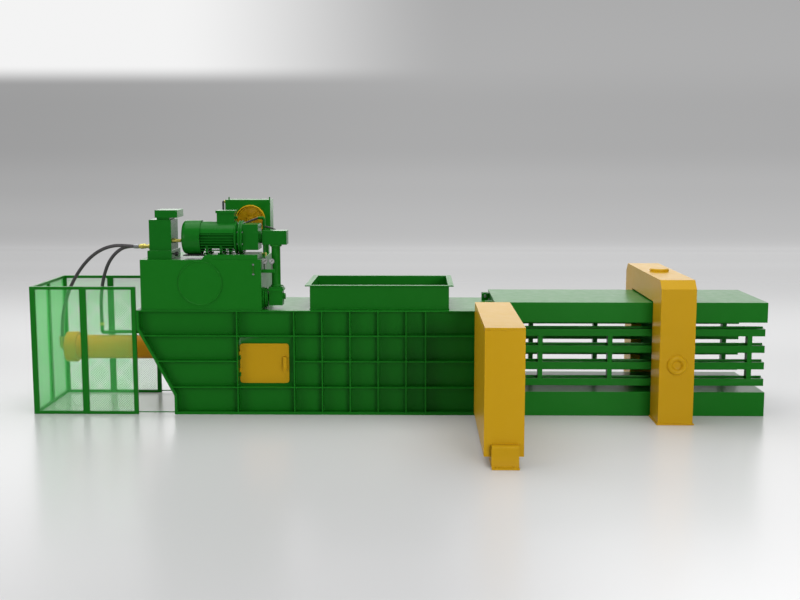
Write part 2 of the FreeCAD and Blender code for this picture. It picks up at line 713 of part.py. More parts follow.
def cylinder_bulkhead():
    """Cross plate that takes the push of the main cylinder, with a hole for its rod-end pipe."""
    plate = box("bulkhead_sheet", ("bulkhead_face", "wall_in", "0"),
                ("bulkhead_plate", "channel_width", "ram_top - ram_plate - 10"))
    bore = drum("bulkhead_bore", ("bulkhead_face", "middle", "cylinder_axis"),
                "barrel_radius + pin_slack", "bulkhead_plate", "X")
    return cut("cylinder_bulkhead", plate, bore, pipe_hole("bulkhead_pipe_hole"))


def pipe_hole(label):
    return drum(label, ("bulkhead_face - mount_ring", "middle", "rod_pipe_height"),
                "rod_pipe_radius + 5", "mount_ring + bulkhead_plate", "X")


def fixed_blade():
    """Shear blade on the roof beam's rear face."""
    return box("fixed_shear_blade", ("hopper_end", "wall_in", "channel_roof"),
               ("blade_plate", "channel_width", "blade_height"))


# ------------------------------------------------------------ feed hopper
def feed_hopper():
    """Four plates with an outward flange, drilled for a chute or conveyor hood."""
    sheet_box = box("hopper_box", ("hopper_rear", "hopper_side", "body_height"),
                    ("hopper_length", "hopper_width", "hopper_height"))
    flange = box("hopper_flange_plate",
                 ("hopper_rear - hopper_flange", "hopper_side - hopper_flange", "hopper_top - hopper_plate"),
                 ("hopper_length + 2 * hopper_flange", "hopper_width + 2 * hopper_flange", "hopper_plate"))
    inside = box("hopper_inside", ("hopper_rear + hopper_plate", "hopper_side + hopper_plate", "body_height"),
                 ("hopper_length - 2 * hopper_plate", "hopper_width - 2 * hopper_plate", "hopper_height"))
    return cut("feed_hopper", fuse("hopper_blank", sheet_box, flange), inside, *hopper_holes())


def hopper_holes():
    """Flange holes at the four corners."""
    return [drum(f"flange_hole_{row}_{column}",
                 (f"hopper_rear - hopper_flange / 2 + {column} * (hopper_length + hopper_flange)",
                  f"hopper_side - hopper_flange / 2 + {row} * (hopper_width + hopper_flange)",
                  "hopper_top - hopper_plate"), "hopper_bolt_radius", "hopper_plate")
            for row in (0, 1) for column in (0, 1)]


# ------------------------------------------------------------ access door
def door_hinge_brackets():
    """Pins and lower knuckles welded to the wall, one pair beside the door."""
    parts = []
    for place, height in enumerate(HINGE_PLACES):
        foot = f"door_sill + {height}"
        pin = drum(f"door_pin_{place}", ("door_start", "door_pin_across", foot),
                   "knuckle_radius / 2", "knuckle_length")
        lower = drum(f"lower_knuckle_{place}", ("door_start", "door_pin_across", foot),
                     "knuckle_radius", "knuckle_length / 2 - 0.5")
        pad = box(f"hinge_pad_{place}", ("door_start - knuckle_radius / 2", "door_pin_across", foot),
                  ("knuckle_radius", "rib_depth - door_pin_across", "knuckle_length / 2 - 0.5"))
        parts.append(fuse(f"bracket_{place}", pin, lower, pad))
    return group("door_hinge_brackets", *parts)


def access_door():
    """Door plate with round corners, its upper knuckles and a handle bar."""
    body = doc.addObject("PartDesign::Body", "door_panel")
    sketch = body.newObject("Sketcher::SketchObject", "door_outline")
    face = next(feature for feature in body.Origin.OriginFeatures if feature.Role == "XZ_Plane")
    sketch.AttachmentSupport = (face, [""])
    sketch.MapMode = "FlatFace"
    corners = [Vector(0, 0, 0), Vector(1, 0, 0), Vector(1, 1, 0), Vector(0, 1, 0)]
    for index in range(4):
        sketch.addGeometry(Part.LineSegment(corners[index] * 500, corners[(index + 1) % 4] * 500))
        sketch.addConstraint(Sketcher.Constraint("Horizontal" if index % 2 == 0 else "Vertical", index))
    for index in range(4):
        sketch.addConstraint(Sketcher.Constraint("Coincident", index, 2, (index + 1) % 4, 1))
    sketch.addConstraint(Sketcher.Constraint("Coincident", 0, 1, -1, 1))
    for name, line, kind, size in (("wide", 0, "DistanceX", "door_width"), ("high", 1, "DistanceY", "door_height")):
        row = sketch.addConstraint(Sketcher.Constraint(kind, line, 1, line, 2, 500))
        sketch.renameConstraint(row, name)
        bind(sketch, "Constraints." + name, size)
    pad = body.newObject("PartDesign::Pad", "door_pad")
    pad.Profile = sketch
    pad.Reversed = True
    bind(pad, "Length", "door_plate")
    doc.recompute()
    upright = [f"Edge{index + 1}" for index, edge in enumerate(pad.Shape.Edges)
               if abs(edge.tangentAt(edge.FirstParameter).y) > 0.99]
    rounded = body.newObject("PartDesign::Fillet", "door_corners")
    rounded.Base = (pad, upright)
    bind(rounded, "Radius", "door_round")
    put(body, ("door_start", "door_face", "door_sill"))
    extras = []
    for place, height in enumerate(HINGE_PLACES):
        foot = f"door_sill + {height} + knuckle_length / 2"
        knuckle = drum(f"upper_knuckle_{place}", ("door_start", "door_pin_across", foot),
                       "knuckle_radius", "knuckle_length / 2")
        leaf = box(f"hinge_leaf_{place}", ("door_start", "door_face - 4", foot),
                   ("3 * knuckle_radius", "6", "knuckle_length / 2"))
        extras += [knuckle, leaf]
    pin_holes = [drum(f"knuckle_hole_{place}", ("door_start", "door_pin_across", f"door_sill + {height}"),
                      "knuckle_radius / 2 + pin_slack", "knuckle_length") for place, height in enumerate(HINGE_PLACES)]
    clear = [box(f"knuckle_gap_{place}", ("door_start - knuckle_radius", "door_face - 6", f"door_sill + {height} - 2"),
                 ("2 * knuckle_radius + 2", "door_plate + 8", "knuckle_length / 2 + 2"))
             for place, height in enumerate(HINGE_PLACES)]
    notched = cut("door_notched", body, *clear)
    bar_at = ("door_start + door_width - 65", "door_face - 45", "door_sill + door_height / 2 - latch_length / 2")
    bar = box("handle_bar", bar_at, ("40", "12", "latch_length"))
    posts = [box(f"handle_post_{end}", (bar_at[0], "door_face - 33", f"{bar_at[2]} + {end} * (latch_length - 20)"),
                 ("40", "33", "20")) for end in (0, 1)]
    return cut("access_door", fuse("door_welded", notched, bar, *posts, *extras), *pin_holes)


# ------------------------------------------------------------ main cylinder and ram
def main_cylinder():
    """Barrel with its mounting ring, rear cap and front gland."""
    along = ("barrel_start", "middle", "cylinder_axis")
    ring_at = ("bulkhead_face - mount_ring", "middle", "cylinder_axis")
    sleeve = drum("barrel_outer", along, "barrel_radius", "barrel_length", "X")
    ring = drum("mounting_ring", ring_at, "mount_ring_radius", "mount_ring", "X")
    bore = drum("barrel_bore", along, "bore_radius", "barrel_length", "X")
    block = box("port_block_cast", ("barrel_start + barrel_length - port_block_inset", "middle - port_block / 2", "cylinder_axis"),
                ("port_block", "port_block", "rod_pipe_rise + port_block / 2"))
    barrel = cut("main_cylinder_barrel", fuse("barrel_blank", sleeve, ring, block), bore,
                 pipe_hole("ring_pipe_hole"))
    cap = drum("main_cylinder_cap", ("cap_start", "middle", "cylinder_axis"), "cap_radius", "cap_length", "X")
    gland_at = ("barrel_start + barrel_length", "middle", "cylinder_axis")
    gland = tube("main_cylinder_gland", gland_at, "barrel_radius + 10", "rod_radius + seal_slack", "gland_length", "X")
    return barrel, cap, gland


def ram_rod():
    """Rod and piston as one turned piece, from the rear cap to the back of the platen."""
    piston = drum("piston", ("barrel_start + 20", "middle", "cylinder_axis"),
                  "bore_radius - contact_gap", "piston_length", "X")
    rod = drum("rod", ("barrel_start + 20", "middle", "cylinder_axis"),
               "rod_radius", "ram_face - platen - barrel_start - 20", "X")
    return fuse("ram_rod", piston, rod)


def ram_box():
    """Box ram, open at the rear for the cylinder, with a cover plate behind it."""
    at = ("ram_start", "ram_side", "ram_bottom")
    block = box("ram_block", at, ("ram_length", "ram_width", "ram_top - ram_bottom"))
    hollow = box("ram_hollow", ("ram_start", "ram_side + ram_plate", "ram_bottom + ram_plate"),
                 ("ram_length - platen", "ram_width - 2 * ram_plate", "ram_top - ram_bottom - 2 * ram_plate"))
    tail = box("ram_cover", ("ram_start - ram_tail", "ram_side", "ram_top - ram_plate / 2"),
               ("ram_tail + 50", "ram_width", "ram_plate / 2"))
    knife = box("ram_knife", ("ram_face - blade_height", "ram_side", "ram_top - blade_plate"),
                ("blade_height", "ram_width", "blade_plate"))
    return fuse("ram_box", cut("ram_shell", block, hollow, knife), tail)


def ram_blade():
    """Moving shear blade let into the ram's top front edge."""
    return box("ram_blade", ("ram_face - blade_height", "ram_side", "ram_top - blade_plate"),
               ("blade_height", "ram_width", "blade_plate"))


def ram_shoes():
    """Two wear strips under the ram, a running gap above the deck."""
    shoes = [box(f"shoe_{side}", ("ram_start", across, "floor_height + slide_slack"),
                 ("ram_length", "shoe_width", "shoe_height"))
             for side, across in ((0, "ram_side + 20"), (1, "ram_side + ram_width - 20 - shoe_width"))]
    return group("ram_shoes", *shoes)


def cylinder_ports():
    """Elbow at the rear cap and the rod-end pipe along the top of the barrel to its port block."""
    cap_route, rod_route = hose_routes()
    middle = get("middle")
    foot = cap_route[-1]
    cap_end = [(get("cap_start"), middle, get("cylinder_axis")), (foot[0], middle, get("cylinder_axis")), foot]
    elbow, _ = bent_pipe(cap_end, get("port_radius"), get("port_radius") * 1.6)
    height = get("rod_pipe_height")
    top = rod_route[-1]
    run = [top, (top[0], top[1], height), (top[0] + get("rod_pipe_lead"), middle, height),
           (get("barrel_start") + get("barrel_length") - get("port_block_inset"), middle, height)]
    pipe, _ = bent_pipe(run, get("rod_pipe_radius"), get("rod_pipe_radius") * 2.2)
    return group("cylinder_ports", solid("cap_end_elbow", elbow), solid("rod_end_pipe", pipe))


# ------------------------------------------------------------ bale channel
def hollow_deck(label, base, height):
    """A welded box plate of the channel with a web down its middle, open at the outlet end."""
    outer = box(f"{label}_outer", ("channel_start", "0", base), ("overall - channel_start", "machine_width", height))
    cells = [box(f"{label}_cell_{side}", ("channel_start + plate_skin", start, f"{base} + plate_skin"),
                 ("overall - channel_start", "middle - 1.5 * plate_skin", f"{height} - 2 * plate_skin"))
             for side, start in ((0, "plate_skin"), (1, "middle + plate_skin / 2"))]
    return cut(f"{label}_shell", outer, *cells)


def bottom_plate():
    """Fixed floor of the bale channel, butted against the body's end."""
    deck = hollow_deck("bottom", "0", "floor_height")
    joint = box("bottom_joint", ("body_end", "0", "0"), ("channel_gap", "machine_width", "floor_height"))
    return fuse("bottom_plate", deck, joint)


def top_plate():
    """Moving roof of the bale channel, hung on two ears over the press roof."""
    deck = hollow_deck("top", "channel_roof", "top_plate_height")
    ears = []
    for side, across in ((0, "top_ear_across"), (1, "machine_width - top_ear_across")):
        at = ("top_pin_along", f"{across} - lug_plate / 4", "top_pin_height - 1.6 * hinge_pin_radius")
        arm = box(f"top_ear_arm_{side}", at,
                  ("channel_start - top_pin_along + 5", "lug_plate / 2", "3.2 * hinge_pin_radius"))
        eye = drum(f"top_ear_eye_{side}", ("top_pin_along", f"{across} - lug_plate / 4", "top_pin_height"),
                   "1.6 * hinge_pin_radius", "lug_plate / 2", "Y")
        ears += [arm, eye]
    holes = [drum(f"top_ear_hole_{side}", ("top_pin_along", f"{across} - lug_plate", "top_pin_height"),
                  "hinge_pin_radius + pin_slack", "2 * lug_plate", "Y")
             for side, across in ((0, "top_ear_across"), (1, "machine_width - top_ear_across"))]
    return cut("top_plate", fuse("top_welded", deck, *ears), *holes)


def slat_side(side):
    """Four slat beams with wear bars and spacers, and the upright plate that the tension rod presses."""
    parts = []
    for row in range(SLATS):
        middle = f"slat_base + {row} * slat_pitch"
        parts.append(box(f"{side}_slat_{row}", ("channel_start", "slat_inset", f"{middle} - slat_height / 2"),
                         ("slat_length", "slat_depth", "slat_height")))
        parts.append(box(f"{side}_wear_bar_{row}",
                         ("channel_start", "slat_inset + slat_depth", f"{middle} - liner_height / 2"),
                         ("slat_length", "liner_plate", "liner_height")))
    for step in range(SPACERS):
        at = (f"body_end + spacer_start + {step} * spacer_pitch - spacer_width / 2", "slat_inset", "slat_base")
        parts.append(box(f"{side}_spacer_{step}", at,
                         ("spacer_width", "slat_depth", f"{SLATS - 1} * slat_pitch")))
    parts.append(box(f"{side}_press_plate", ("collar_centre - 1.3 * tension_rod_radius", "press_plate_across",
                                             "slat_base - slat_height / 2"),
                     ("2.6 * tension_rod_radius", "slat_inset - press_plate_across",
                      f"{SLATS - 1} * slat_pitch + slat_height")))
    pin = drum(f"{side}_slat_pin_hole", ("side_pin_along", "side_pin_across", "floor_height"),
               "hinge_pin_radius + pin_slack", "chamber_height")
    return cut(f"{side}_slat_bored", fuse(f"{side}_slat_welded", *parts), pin)


def slat_walls():
    near = slat_side("near")
    near.Label = "slat_wall_near"
    return near, mirrored("slat_wall_far", slat_side("far"))


# ------------------------------------------------------------ tension collar
def tension_collar():
    """Welded portal round the channel: chamfered outside, hollow, open at its feet, on foot plates."""
    shape = (("collar_near", "0"), ("collar_near", "collar_height - collar_chamfer"),
             ("collar_near + collar_chamfer", "collar_height"),
             ("collar_far - collar_chamfer", "collar_height"),
             ("collar_far", "collar_height - collar_chamfer"), ("collar_far", "0"),
             ("machine_width + collar_slack", "0"), ("machine_width + collar_slack", "collar_throat"),
             ("0 - collar_slack", "collar_throat"), ("0 - collar_slack", "0"))
    skin = "collar_skin"
    inside = ((f"collar_near + {skin}", "0"), (f"collar_near + {skin}", f"collar_height - collar_chamfer - {skin} / 2"),
              (f"collar_near + collar_chamfer + {skin} / 2", f"collar_height - {skin}"),
              (f"collar_far - collar_chamfer - {skin} / 2", f"collar_height - {skin}"),
              (f"collar_far - {skin}", f"collar_height - collar_chamfer - {skin} / 2"), (f"collar_far - {skin}", "0"),
              (f"machine_width + collar_slack + {skin}", "0"),
              (f"machine_width + collar_slack + {skin}", f"collar_throat + {skin}"),
              (f"0 - collar_slack - {skin}", f"collar_throat + {skin}"), (f"0 - collar_slack - {skin}", "0"))
    portal = prism("collar_portal", "YZ", shape, "collar_rear", "collar_length")
    hollow = prism("collar_hollow", "YZ", inside, f"collar_rear + {skin}", f"collar_length - 2 * {skin}")
    holes = [drum("collar_hole_near", ("collar_centre", "collar_near", "tension_axis"),
                  "tension_barrel_radius + bore_slack", "collar_depth", "Y"),
             drum("collar_hole_far", ("collar_centre", "machine_width", "tension_axis"),
                  "tension_barrel_radius + bore_slack", "collar_depth", "Y"),
             drum("collar_hole_top", ("collar_centre", "middle", "collar_throat"),
                  "tension_barrel_radius + bore_slack", "collar_height - collar_throat", "Z")]
    feet = []
    for side, start in (("near", "collar_near - collar_foot"), ("far", "machine_width + collar_slack")):
        at = ("collar_rear - collar_foot", start, "0")
        feet.append(box(f"collar_foot_{side}", at, ("collar_length + 2 * collar_foot",
                                                    "collar_depth - collar_slack + collar_foot", "collar_foot")))
    ties = [box(f"collar_tie_{side}", ("collar_rear + 60", start, "0"),
                ("collar_length - 120", "collar_slack", "floor_height * 0.6"))
            for side, start in (("near", "0 - collar_slack"), ("far", "machine_width"))]
    return cut("tension_collar", fuse("collar_welded", cut("collar_shell", portal, hollow), *feet, *ties), *holes)


TENSION = (("near", "Y"), ("far", "-Y"), ("top", "-Z"))


def tension_places(side):
    """Outer face of a tension cylinder's cap seat and the face that its rod presses."""
    if side == "near":
        return ("collar_centre", "collar_near", "tension_axis"), "collar_depth + press_plate_across"
    if side == "far":
        return ("collar_centre", "collar_far", "tension_axis"), "collar_depth + press_plate_across"
    return ("collar_centre", "middle", "collar_height"), "collar_height - top_plate_top"


def tension_cylinder(side, along):
    """Barrel with a raised ring cap, turned as one profile round the plunger's bore."""
    at, reach = tension_places(side)
    barrel_end = "collar_depth - collar_slack" if side != "top" else "collar_height - collar_throat"
    profile = (("0 - tension_cap_proud", "tension_cap_bore"),
               ("0 - tension_cap_proud", "tension_cap_radius"), ("0", "tension_cap_radius"),
               ("0", "tension_barrel_radius"), (barrel_end, "tension_barrel_radius"),
               (barrel_end, "tension_rod_radius + seal_slack"), ("20", "tension_rod_radius + seal_slack"),
               ("20", "0"), ("8 - tension_cap_proud", "0"), ("8 - tension_cap_proud", "tension_cap_bore"))
    return turned(f"tension_cylinder_{side}", at, profile, along)


def tension_rod(side, along):
    """Plunger whose narrow nose stands just clear of the plate it presses, so that the plate may tilt."""
    at, reach = tension_places(side)
    face = f"{reach} - contact_gap"
    profile = (("24", "0"), ("24", "tension_rod_radius"), (f"{face} - nose_length", "tension_rod_radius"),
               (f"{face} - nose_length", "nose_radius"), (face, "nose_radius"), (face, "0"))
    return turned(f"tension_rod_{side}", at, profile, along)


# ------------------------------------------------------------ wire-tying unit
def tie_housing():
    """Welded box for the needle carriage, open to the neck, on a foot bracket."""
    height = "tier_top - tier_lid - tier_bottom"
    outer = box("tier_outer", ("tier_start", "tier_near", "tier_bottom"), ("tier_width", "tier_length", height))
    inner = box("tier_inner", ("tier_start + tier_skin", "tier_near + tier_skin", "tier_bottom + tier_skin"),
                ("tier_width - 2 * tier_skin", "tier_length - 2 * tier_skin", height))
    mouth = box("tier_mouth", ("tier_start + tier_foot_inset + 2 * tier_skin", "tier_far - tier_skin",
                               "tier_bottom + 120"),
                ("tier_width - tier_foot_inset - 4 * tier_skin", "tier_skin", "body_height - 350"))
    foot_width = "tier_width - 2 * tier_foot_inset + 20"
    foot_start = "tier_start + tier_foot_inset"
    web = box("tier_foot_front", (foot_start, "tier_near - tier_foot_reach", "0"),
              (foot_width, "tier_foot_reach", "tier_foot_height"))
    block = box("tier_foot_block", (foot_start, "tier_near", "0"), (foot_width, "260", "tier_bottom"))
    flange = box("tier_foot_flange_plate", (foot_start, "tier_near - tier_foot_reach - tier_foot_flange", "0"),
                 (foot_width, "tier_foot_flange", "16"))
    holes = [drum(f"tier_anchor_{step}", (f"{foot_start} + 50 + {step} * ({foot_width} - 100)",
                                          "tier_near - tier_foot_reach - tier_foot_flange / 2", "0"),
                  "11", "16") for step in (0, 1)]
    shell = cut("tier_shell", outer, inner, mouth)
    return cut("tie_housing", fuse("tier_welded", shell, web, block, flange), *holes)


def tie_lid():
    """Lid that drops over the open top of the housing."""
    plate = box("tier_lid_plate", ("tier_start", "tier_near", "tier_top - tier_lid / 2"),
                ("tier_width", "tier_length", "tier_lid / 2"))
    rim = box("tier_lid_rim", ("tier_start + 2", "tier_near + 2", "tier_top - tier_lid"),
              ("tier_width - 4", "tier_length - 4", "tier_lid / 2"))
    under = box("tier_lid_under", ("tier_start + 2 * tier_skin", "tier_near + 2 * tier_skin", "tier_top - tier_lid"),
                ("tier_width - 4 * tier_skin", "tier_length - 4 * tier_skin", "tier_lid / 2"))
    return cut("tie_lid", fuse("tier_lid_blank", plate, rim), under)


def tie_neck():
    """Channel frame between the tying unit and the body, with room for the needles."""
    low = "tier_bottom + 60"
    rise = "body_height - 180 - tier_bottom"
    outer = box("neck_outer", ("tier_start + tier_foot_inset", "tier_far", low),
                ("tier_width - tier_foot_inset", "tier_gap", rise))
    inner = box("neck_inner", ("tier_start + tier_foot_inset + tier_skin", "tier_far", f"{low} + tier_skin"),
                ("tier_width - tier_foot_inset - 2 * tier_skin", "tier_gap", f"{rise} - 2 * tier_skin"))
    return cut("tie_neck", outer, inner)


def needle_heights():
    """Gaps under and between the slats, where the needles pass."""
    gaps = [f"slat_base + {row + 0.5} * slat_pitch" for row in range(SLATS - 1)]
    return ["(floor_height + slat_base - liner_height / 2) / 2", *gaps]


def needle_carriage():
    """Upright beam on a sliding shoe, with four tapered tying needles."""
    tip = "0 - needle_tip_back"
    beam_front = f"{tip} - needle_length"
    beam = box("needle_beam", ("needle_along - carriage_back", f"{beam_front} - carriage_beam",
                               "tier_bottom + tier_skin + slide_slack"),
               ("carriage_width", "carriage_beam", "carriage_height"))
    shoe = box("needle_shoe", ("tier_start + tier_skin + 4", f"{beam_front} - carriage_shoe",
                               "tier_bottom + tier_skin + slide_slack"),
               ("tier_width - 2 * tier_skin - 8", "carriage_shoe", "carriage_sole"))
    needles = []
    for row, height in enumerate(needle_heights()):
        flat = ((f"{beam_front} - 10", f"{height} - needle_radius"), (f"{tip} - needle_taper", f"{height} - needle_radius"),
                (tip, f"{height} - 3"), (tip, f"{height} + 3"), (f"{tip} - needle_taper", f"{height} + needle_radius"),
                (f"{beam_front} - 10", f"{height} + needle_radius"))
        needles.append(prism(f"needle_{row}", "YZ", flat, "needle_along - needle_radius / 2", "needle_radius"))
    return fuse("needle_carriage", beam, shoe, *needles)


# ------------------------------------------------------------ hydraulic power unit
def oil_tank():
    """Welded tank with a round cleanout opening in its near face."""
    outer = box("tank_outer", ("tank_rear", "tank_side", "body_height"), ("tank_length", "tank_depth", "tank_height"))
    inner = box("tank_inner", ("tank_rear + tank_skin", "tank_side + tank_skin", "body_height + tank_skin"),
                ("tank_length - 2 * tank_skin", "tank_depth - 2 * tank_skin", "tank_height - 2 * tank_skin"))
    opening = drum("tank_opening", ("cover_along", "tank_side", "cover_height"),
                   "cover_radius - 50", "tank_skin", "Y")
    return cut("oil_tank", outer, inner, opening)


def tank_cleanout_cover():
    """Round cover over the opening in the tank's near face."""
    return drum("tank_cleanout_cover", ("cover_along", "tank_side", "cover_height"), "cover_radius", "cover_plate",
                "-Y")


def tank_level_gauge():
    """Sight glass bar between two banjo bolts."""
    bar = box("level_bar", ("tank_end - 104", "tank_side - 14", "tank_top - 176"), ("26", "14", "130"))
    bolts = [hexagon(f"level_bolt_{end}", ("tank_end - 91", "tank_side - 14", f"tank_top - 160 + {end} * 98"),
                     "10", "8", "-Y") for end in (0, 1)]
    return fuse("tank_level_gauge", bar, *bolts)


def motor_base():
    """Raised base plate with a chamfered end, grooved where the motor's flange dips below its feet."""
    plate = prism("base_blank", "XZ", (("base_start", "tank_top"), ("base_start + 50", "base_top"),
                                       ("bell_start + bell_length", "base_top"),
                                       ("bell_start + bell_length", "tank_top")), "tank_side + 4", "base_depth")
    groove = box("base_groove", ("frame_end - 2", "motor_axis_side - flange_radius / 3",
                                 "motor_axis - flange_radius - 2"),
                 ("bell_start - frame_end + 4", "2 * flange_radius / 3", "flange_radius - fin_radius + 2"))
    return cut("motor_base", plate, groove)


FIN_ROWS = 3
CAST_SIDES = 16


def motor_housing():
    """Ribbed motor body on four feet, with level fins on its flanks, its end bell and its flange."""
    at = ("frame_start", "motor_axis_side", "motor_axis")
    core = hexagon("motor_core", at, "frame_radius", "frame_length", "X", CAST_SIDES)
    fins = []
    for row in range(-FIN_ROWS, FIN_ROWS + 1):
        offset = f"(0 - 12 + {row} * fin_pitch)"
        half = f"sqrt(fin_radius ^ 2 - (abs({offset}) + fin_plate / 2) ^ 2)"
        fins.append(box(f"level_fin_{row + FIN_ROWS}", (
            "frame_start", f"motor_axis_side - {half}", f"motor_axis + {offset} - fin_plate / 2"),
            ("frame_length", f"2 * {half}", "fin_plate")))
    feet = [box(f"motor_foot_{row}_{side}", (f"frame_start + 60 + {row} * 165", across, "base_top"),
                ("26", "70", "motor_axis - frame_radius / 2 - base_top"))
            for row in (0, 1) for side, across in ((0, "motor_axis_side - 140"), (1, "motor_axis_side + 70"))]
    front = drum("end_bell_ring", ("frame_end", "motor_axis_side", "motor_axis"), "fin_radius", "12", "X")
    bell = drum("end_bell_hub", ("frame_end", "motor_axis_side", "motor_axis"),
                "frame_radius - 10", "flange_start - frame_end + 5", "X")
    ring = drum("motor_flange_ring", ("flange_start", "motor_axis_side", "motor_axis"),
                "flange_radius", "flange_plate", "X")
    bore = drum("motor_bore", ("frame_start", "motor_axis_side", "motor_axis"),
                "shaft_radius + pin_slack", "bell_start - frame_start", "X")
    seat = hexagon("rotor_space", ("frame_start + 40", "motor_axis_side", "motor_axis"),
                   "rotor_radius + 6", "frame_length - 80", "X", 12)
    return cut("motor_housing", fuse("motor_cast", core, *fins, *feet, front, bell, ring), bore, seat)


def motor_fan_cowl():
    """Pressed cowl, stepped at its closed end, with a ring of slots, open towards the fins."""
    at = ("cowl_start", "motor_axis_side", "motor_axis")
    end = drum("cowl_end", at, "cowl_radius - 16", "cowl_length / 2", "X")
    shell = drum("cowl_shell", ("cowl_start + 24", *at[1:]), "cowl_radius", "cowl_length - 24", "X")
    room = hexagon("cowl_room", ("cowl_start + 5", *at[1:]), "cowl_radius - 21", "cowl_length", "X", 16)
    slots = []
    for step in range(8):
        angle = 45 * step
        slot = box(f"cowl_slot_{step}", ("0", "0", "0"), ("14", "14", "75"))
        slot.Placement.Rotation = Rotation(Vector(1, 0, 0), angle)
        put(slot, ("cowl_start - 5", f"motor_axis_side - 7 * cos({angle}) - 50 * sin({angle})",
                   f"motor_axis - 7 * sin({angle}) + 50 * cos({angle})"))
        slots.append(slot)
    return cut("motor_fan_cowl", fuse("cowl_blank", end, shell), room, *slots)


def motor_terminal_box():
    """Terminal box with its overhanging lid, seated on the motor's back."""
    case = box("terminal_case", ("terminal_start", "motor_axis_side - 80", "motor_axis + frame_radius - 12"),
               ("184", "160", "terminal_top - motor_axis - frame_radius - 24"))
    lid = box("terminal_lid", ("terminal_start - 20", "motor_axis_side - 92", "terminal_top - 36"),
              ("230", "184", "36"))
    return cut("motor_terminal_box", fuse("terminal_blank", case, lid),
               hexagon("terminal_seat", ("frame_start", "motor_axis_side", "motor_axis"),
                       "frame_radius", "frame_length", "X", CAST_SIDES))


def motor_rotor():
    """Rotor, shaft, cooling fan and coupling half, turned as one stack."""
    at = ("frame_start", "motor_axis_side", "motor_axis")
    shaft = drum("motor_shaft", ("cowl_start + 60", "motor_axis_side", "motor_axis"),
                 "shaft_radius", "bell_start - cowl_start", "X")
    core = hexagon("rotor_core", ("frame_start + 42", "motor_axis_side", "motor_axis"),
                   "rotor_radius", "frame_length - 84", "X", 12)
    blades = []
    for step in range(7):
        angle = step * 360 / 7
        blade = box(f"motor_fan_blade_{step}", ("0", "0", "0"), ("80", "8", "cowl_radius - 34"))
        blade.Placement.Rotation = Rotation(Vector(1, 0, 0), angle)
        put(blade, ("cowl_start + 85", f"motor_axis_side - 4 * cos({angle})", f"motor_axis - 4 * sin({angle})"))
        blades.append(blade)
    coupling = hexagon("coupling_half", ("bell_start + 10", "motor_axis_side", "motor_axis"), "60", "70", "X", 12)
    return fuse("motor_rotor", shaft, core, *blades, coupling)


def bell_housing():
    """Square bell between motor and pump, with room for the coupling."""
    block = box("bell_block", ("bell_start", "motor_axis_side - bell_square / 2", "bell_base"),
                ("bell_length", "bell_square", "bell_square"))
    room = hexagon("bell_room", ("bell_start", "motor_axis_side", "motor_axis"), "90", "bell_length - 20", "X", 12)
    return cut("bell_housing", block, room)


def hydraulic_pump():
    """Pump block behind the bell housing, over the suction pipe."""
    neck = drum("pump_neck", ("pump_start", "motor_axis_side", "motor_axis"), "70", "40", "X")
    block = box("pump_block", ("pump_start + 38", "motor_axis_side - pump_depth / 2", "motor_axis - pump_height / 2"),
                ("pump_length - 38", "pump_depth", "pump_height"))
    return fuse("hydraulic_pump", neck, block)


def suction_line():
    """Suction pipe from the pump down to its block, and the flanged valve on the tank's side."""
    half = "suction_block_width / 2"
    pipe = drum("suction_pipe", ("suction_along", "suction_across", "suction_block_top"), "suction_radius",
                "motor_axis - pump_height / 2 - suction_block_top")
    block = box("suction_body", (f"suction_along - {half}", f"suction_across - {half}", "suction_block_base"),
                ("suction_block_width", "suction_block_width", "suction_block_height"))
    lip = box("suction_collar", (f"suction_along - {half} - suction_lip", f"suction_across - {half} - suction_lip",
                                 "suction_block_top - suction_lip_drop"),
              ("suction_block_width + 2 * suction_lip", "suction_block_width + 2 * suction_lip",
               "suction_lip_height"))
    boss = hexagon("suction_boss", (f"suction_along + {half}", "suction_across", "suction_block_base + suction_boss_rise"),
                   "suction_boss_radius", "suction_boss_length", "X")
    at = ("suction_across", "body_height + valve_rise")
    flange = hexagon("valve_flange", ("tank_end", *at), "valve_radius", "24", "X", 16)
    wheel = hexagon("valve_wheel", ("tank_end + 44", *at), "valve_radius - 15", "16", "X", 16)
    stem = hexagon("valve_stem", ("tank_end", *at), "valve_radius / 3", f"suction_along - {half} - tank_end", "X", 12)
    return fuse("suction_line", pipe, block, lip, boss, flange, wheel, stem)


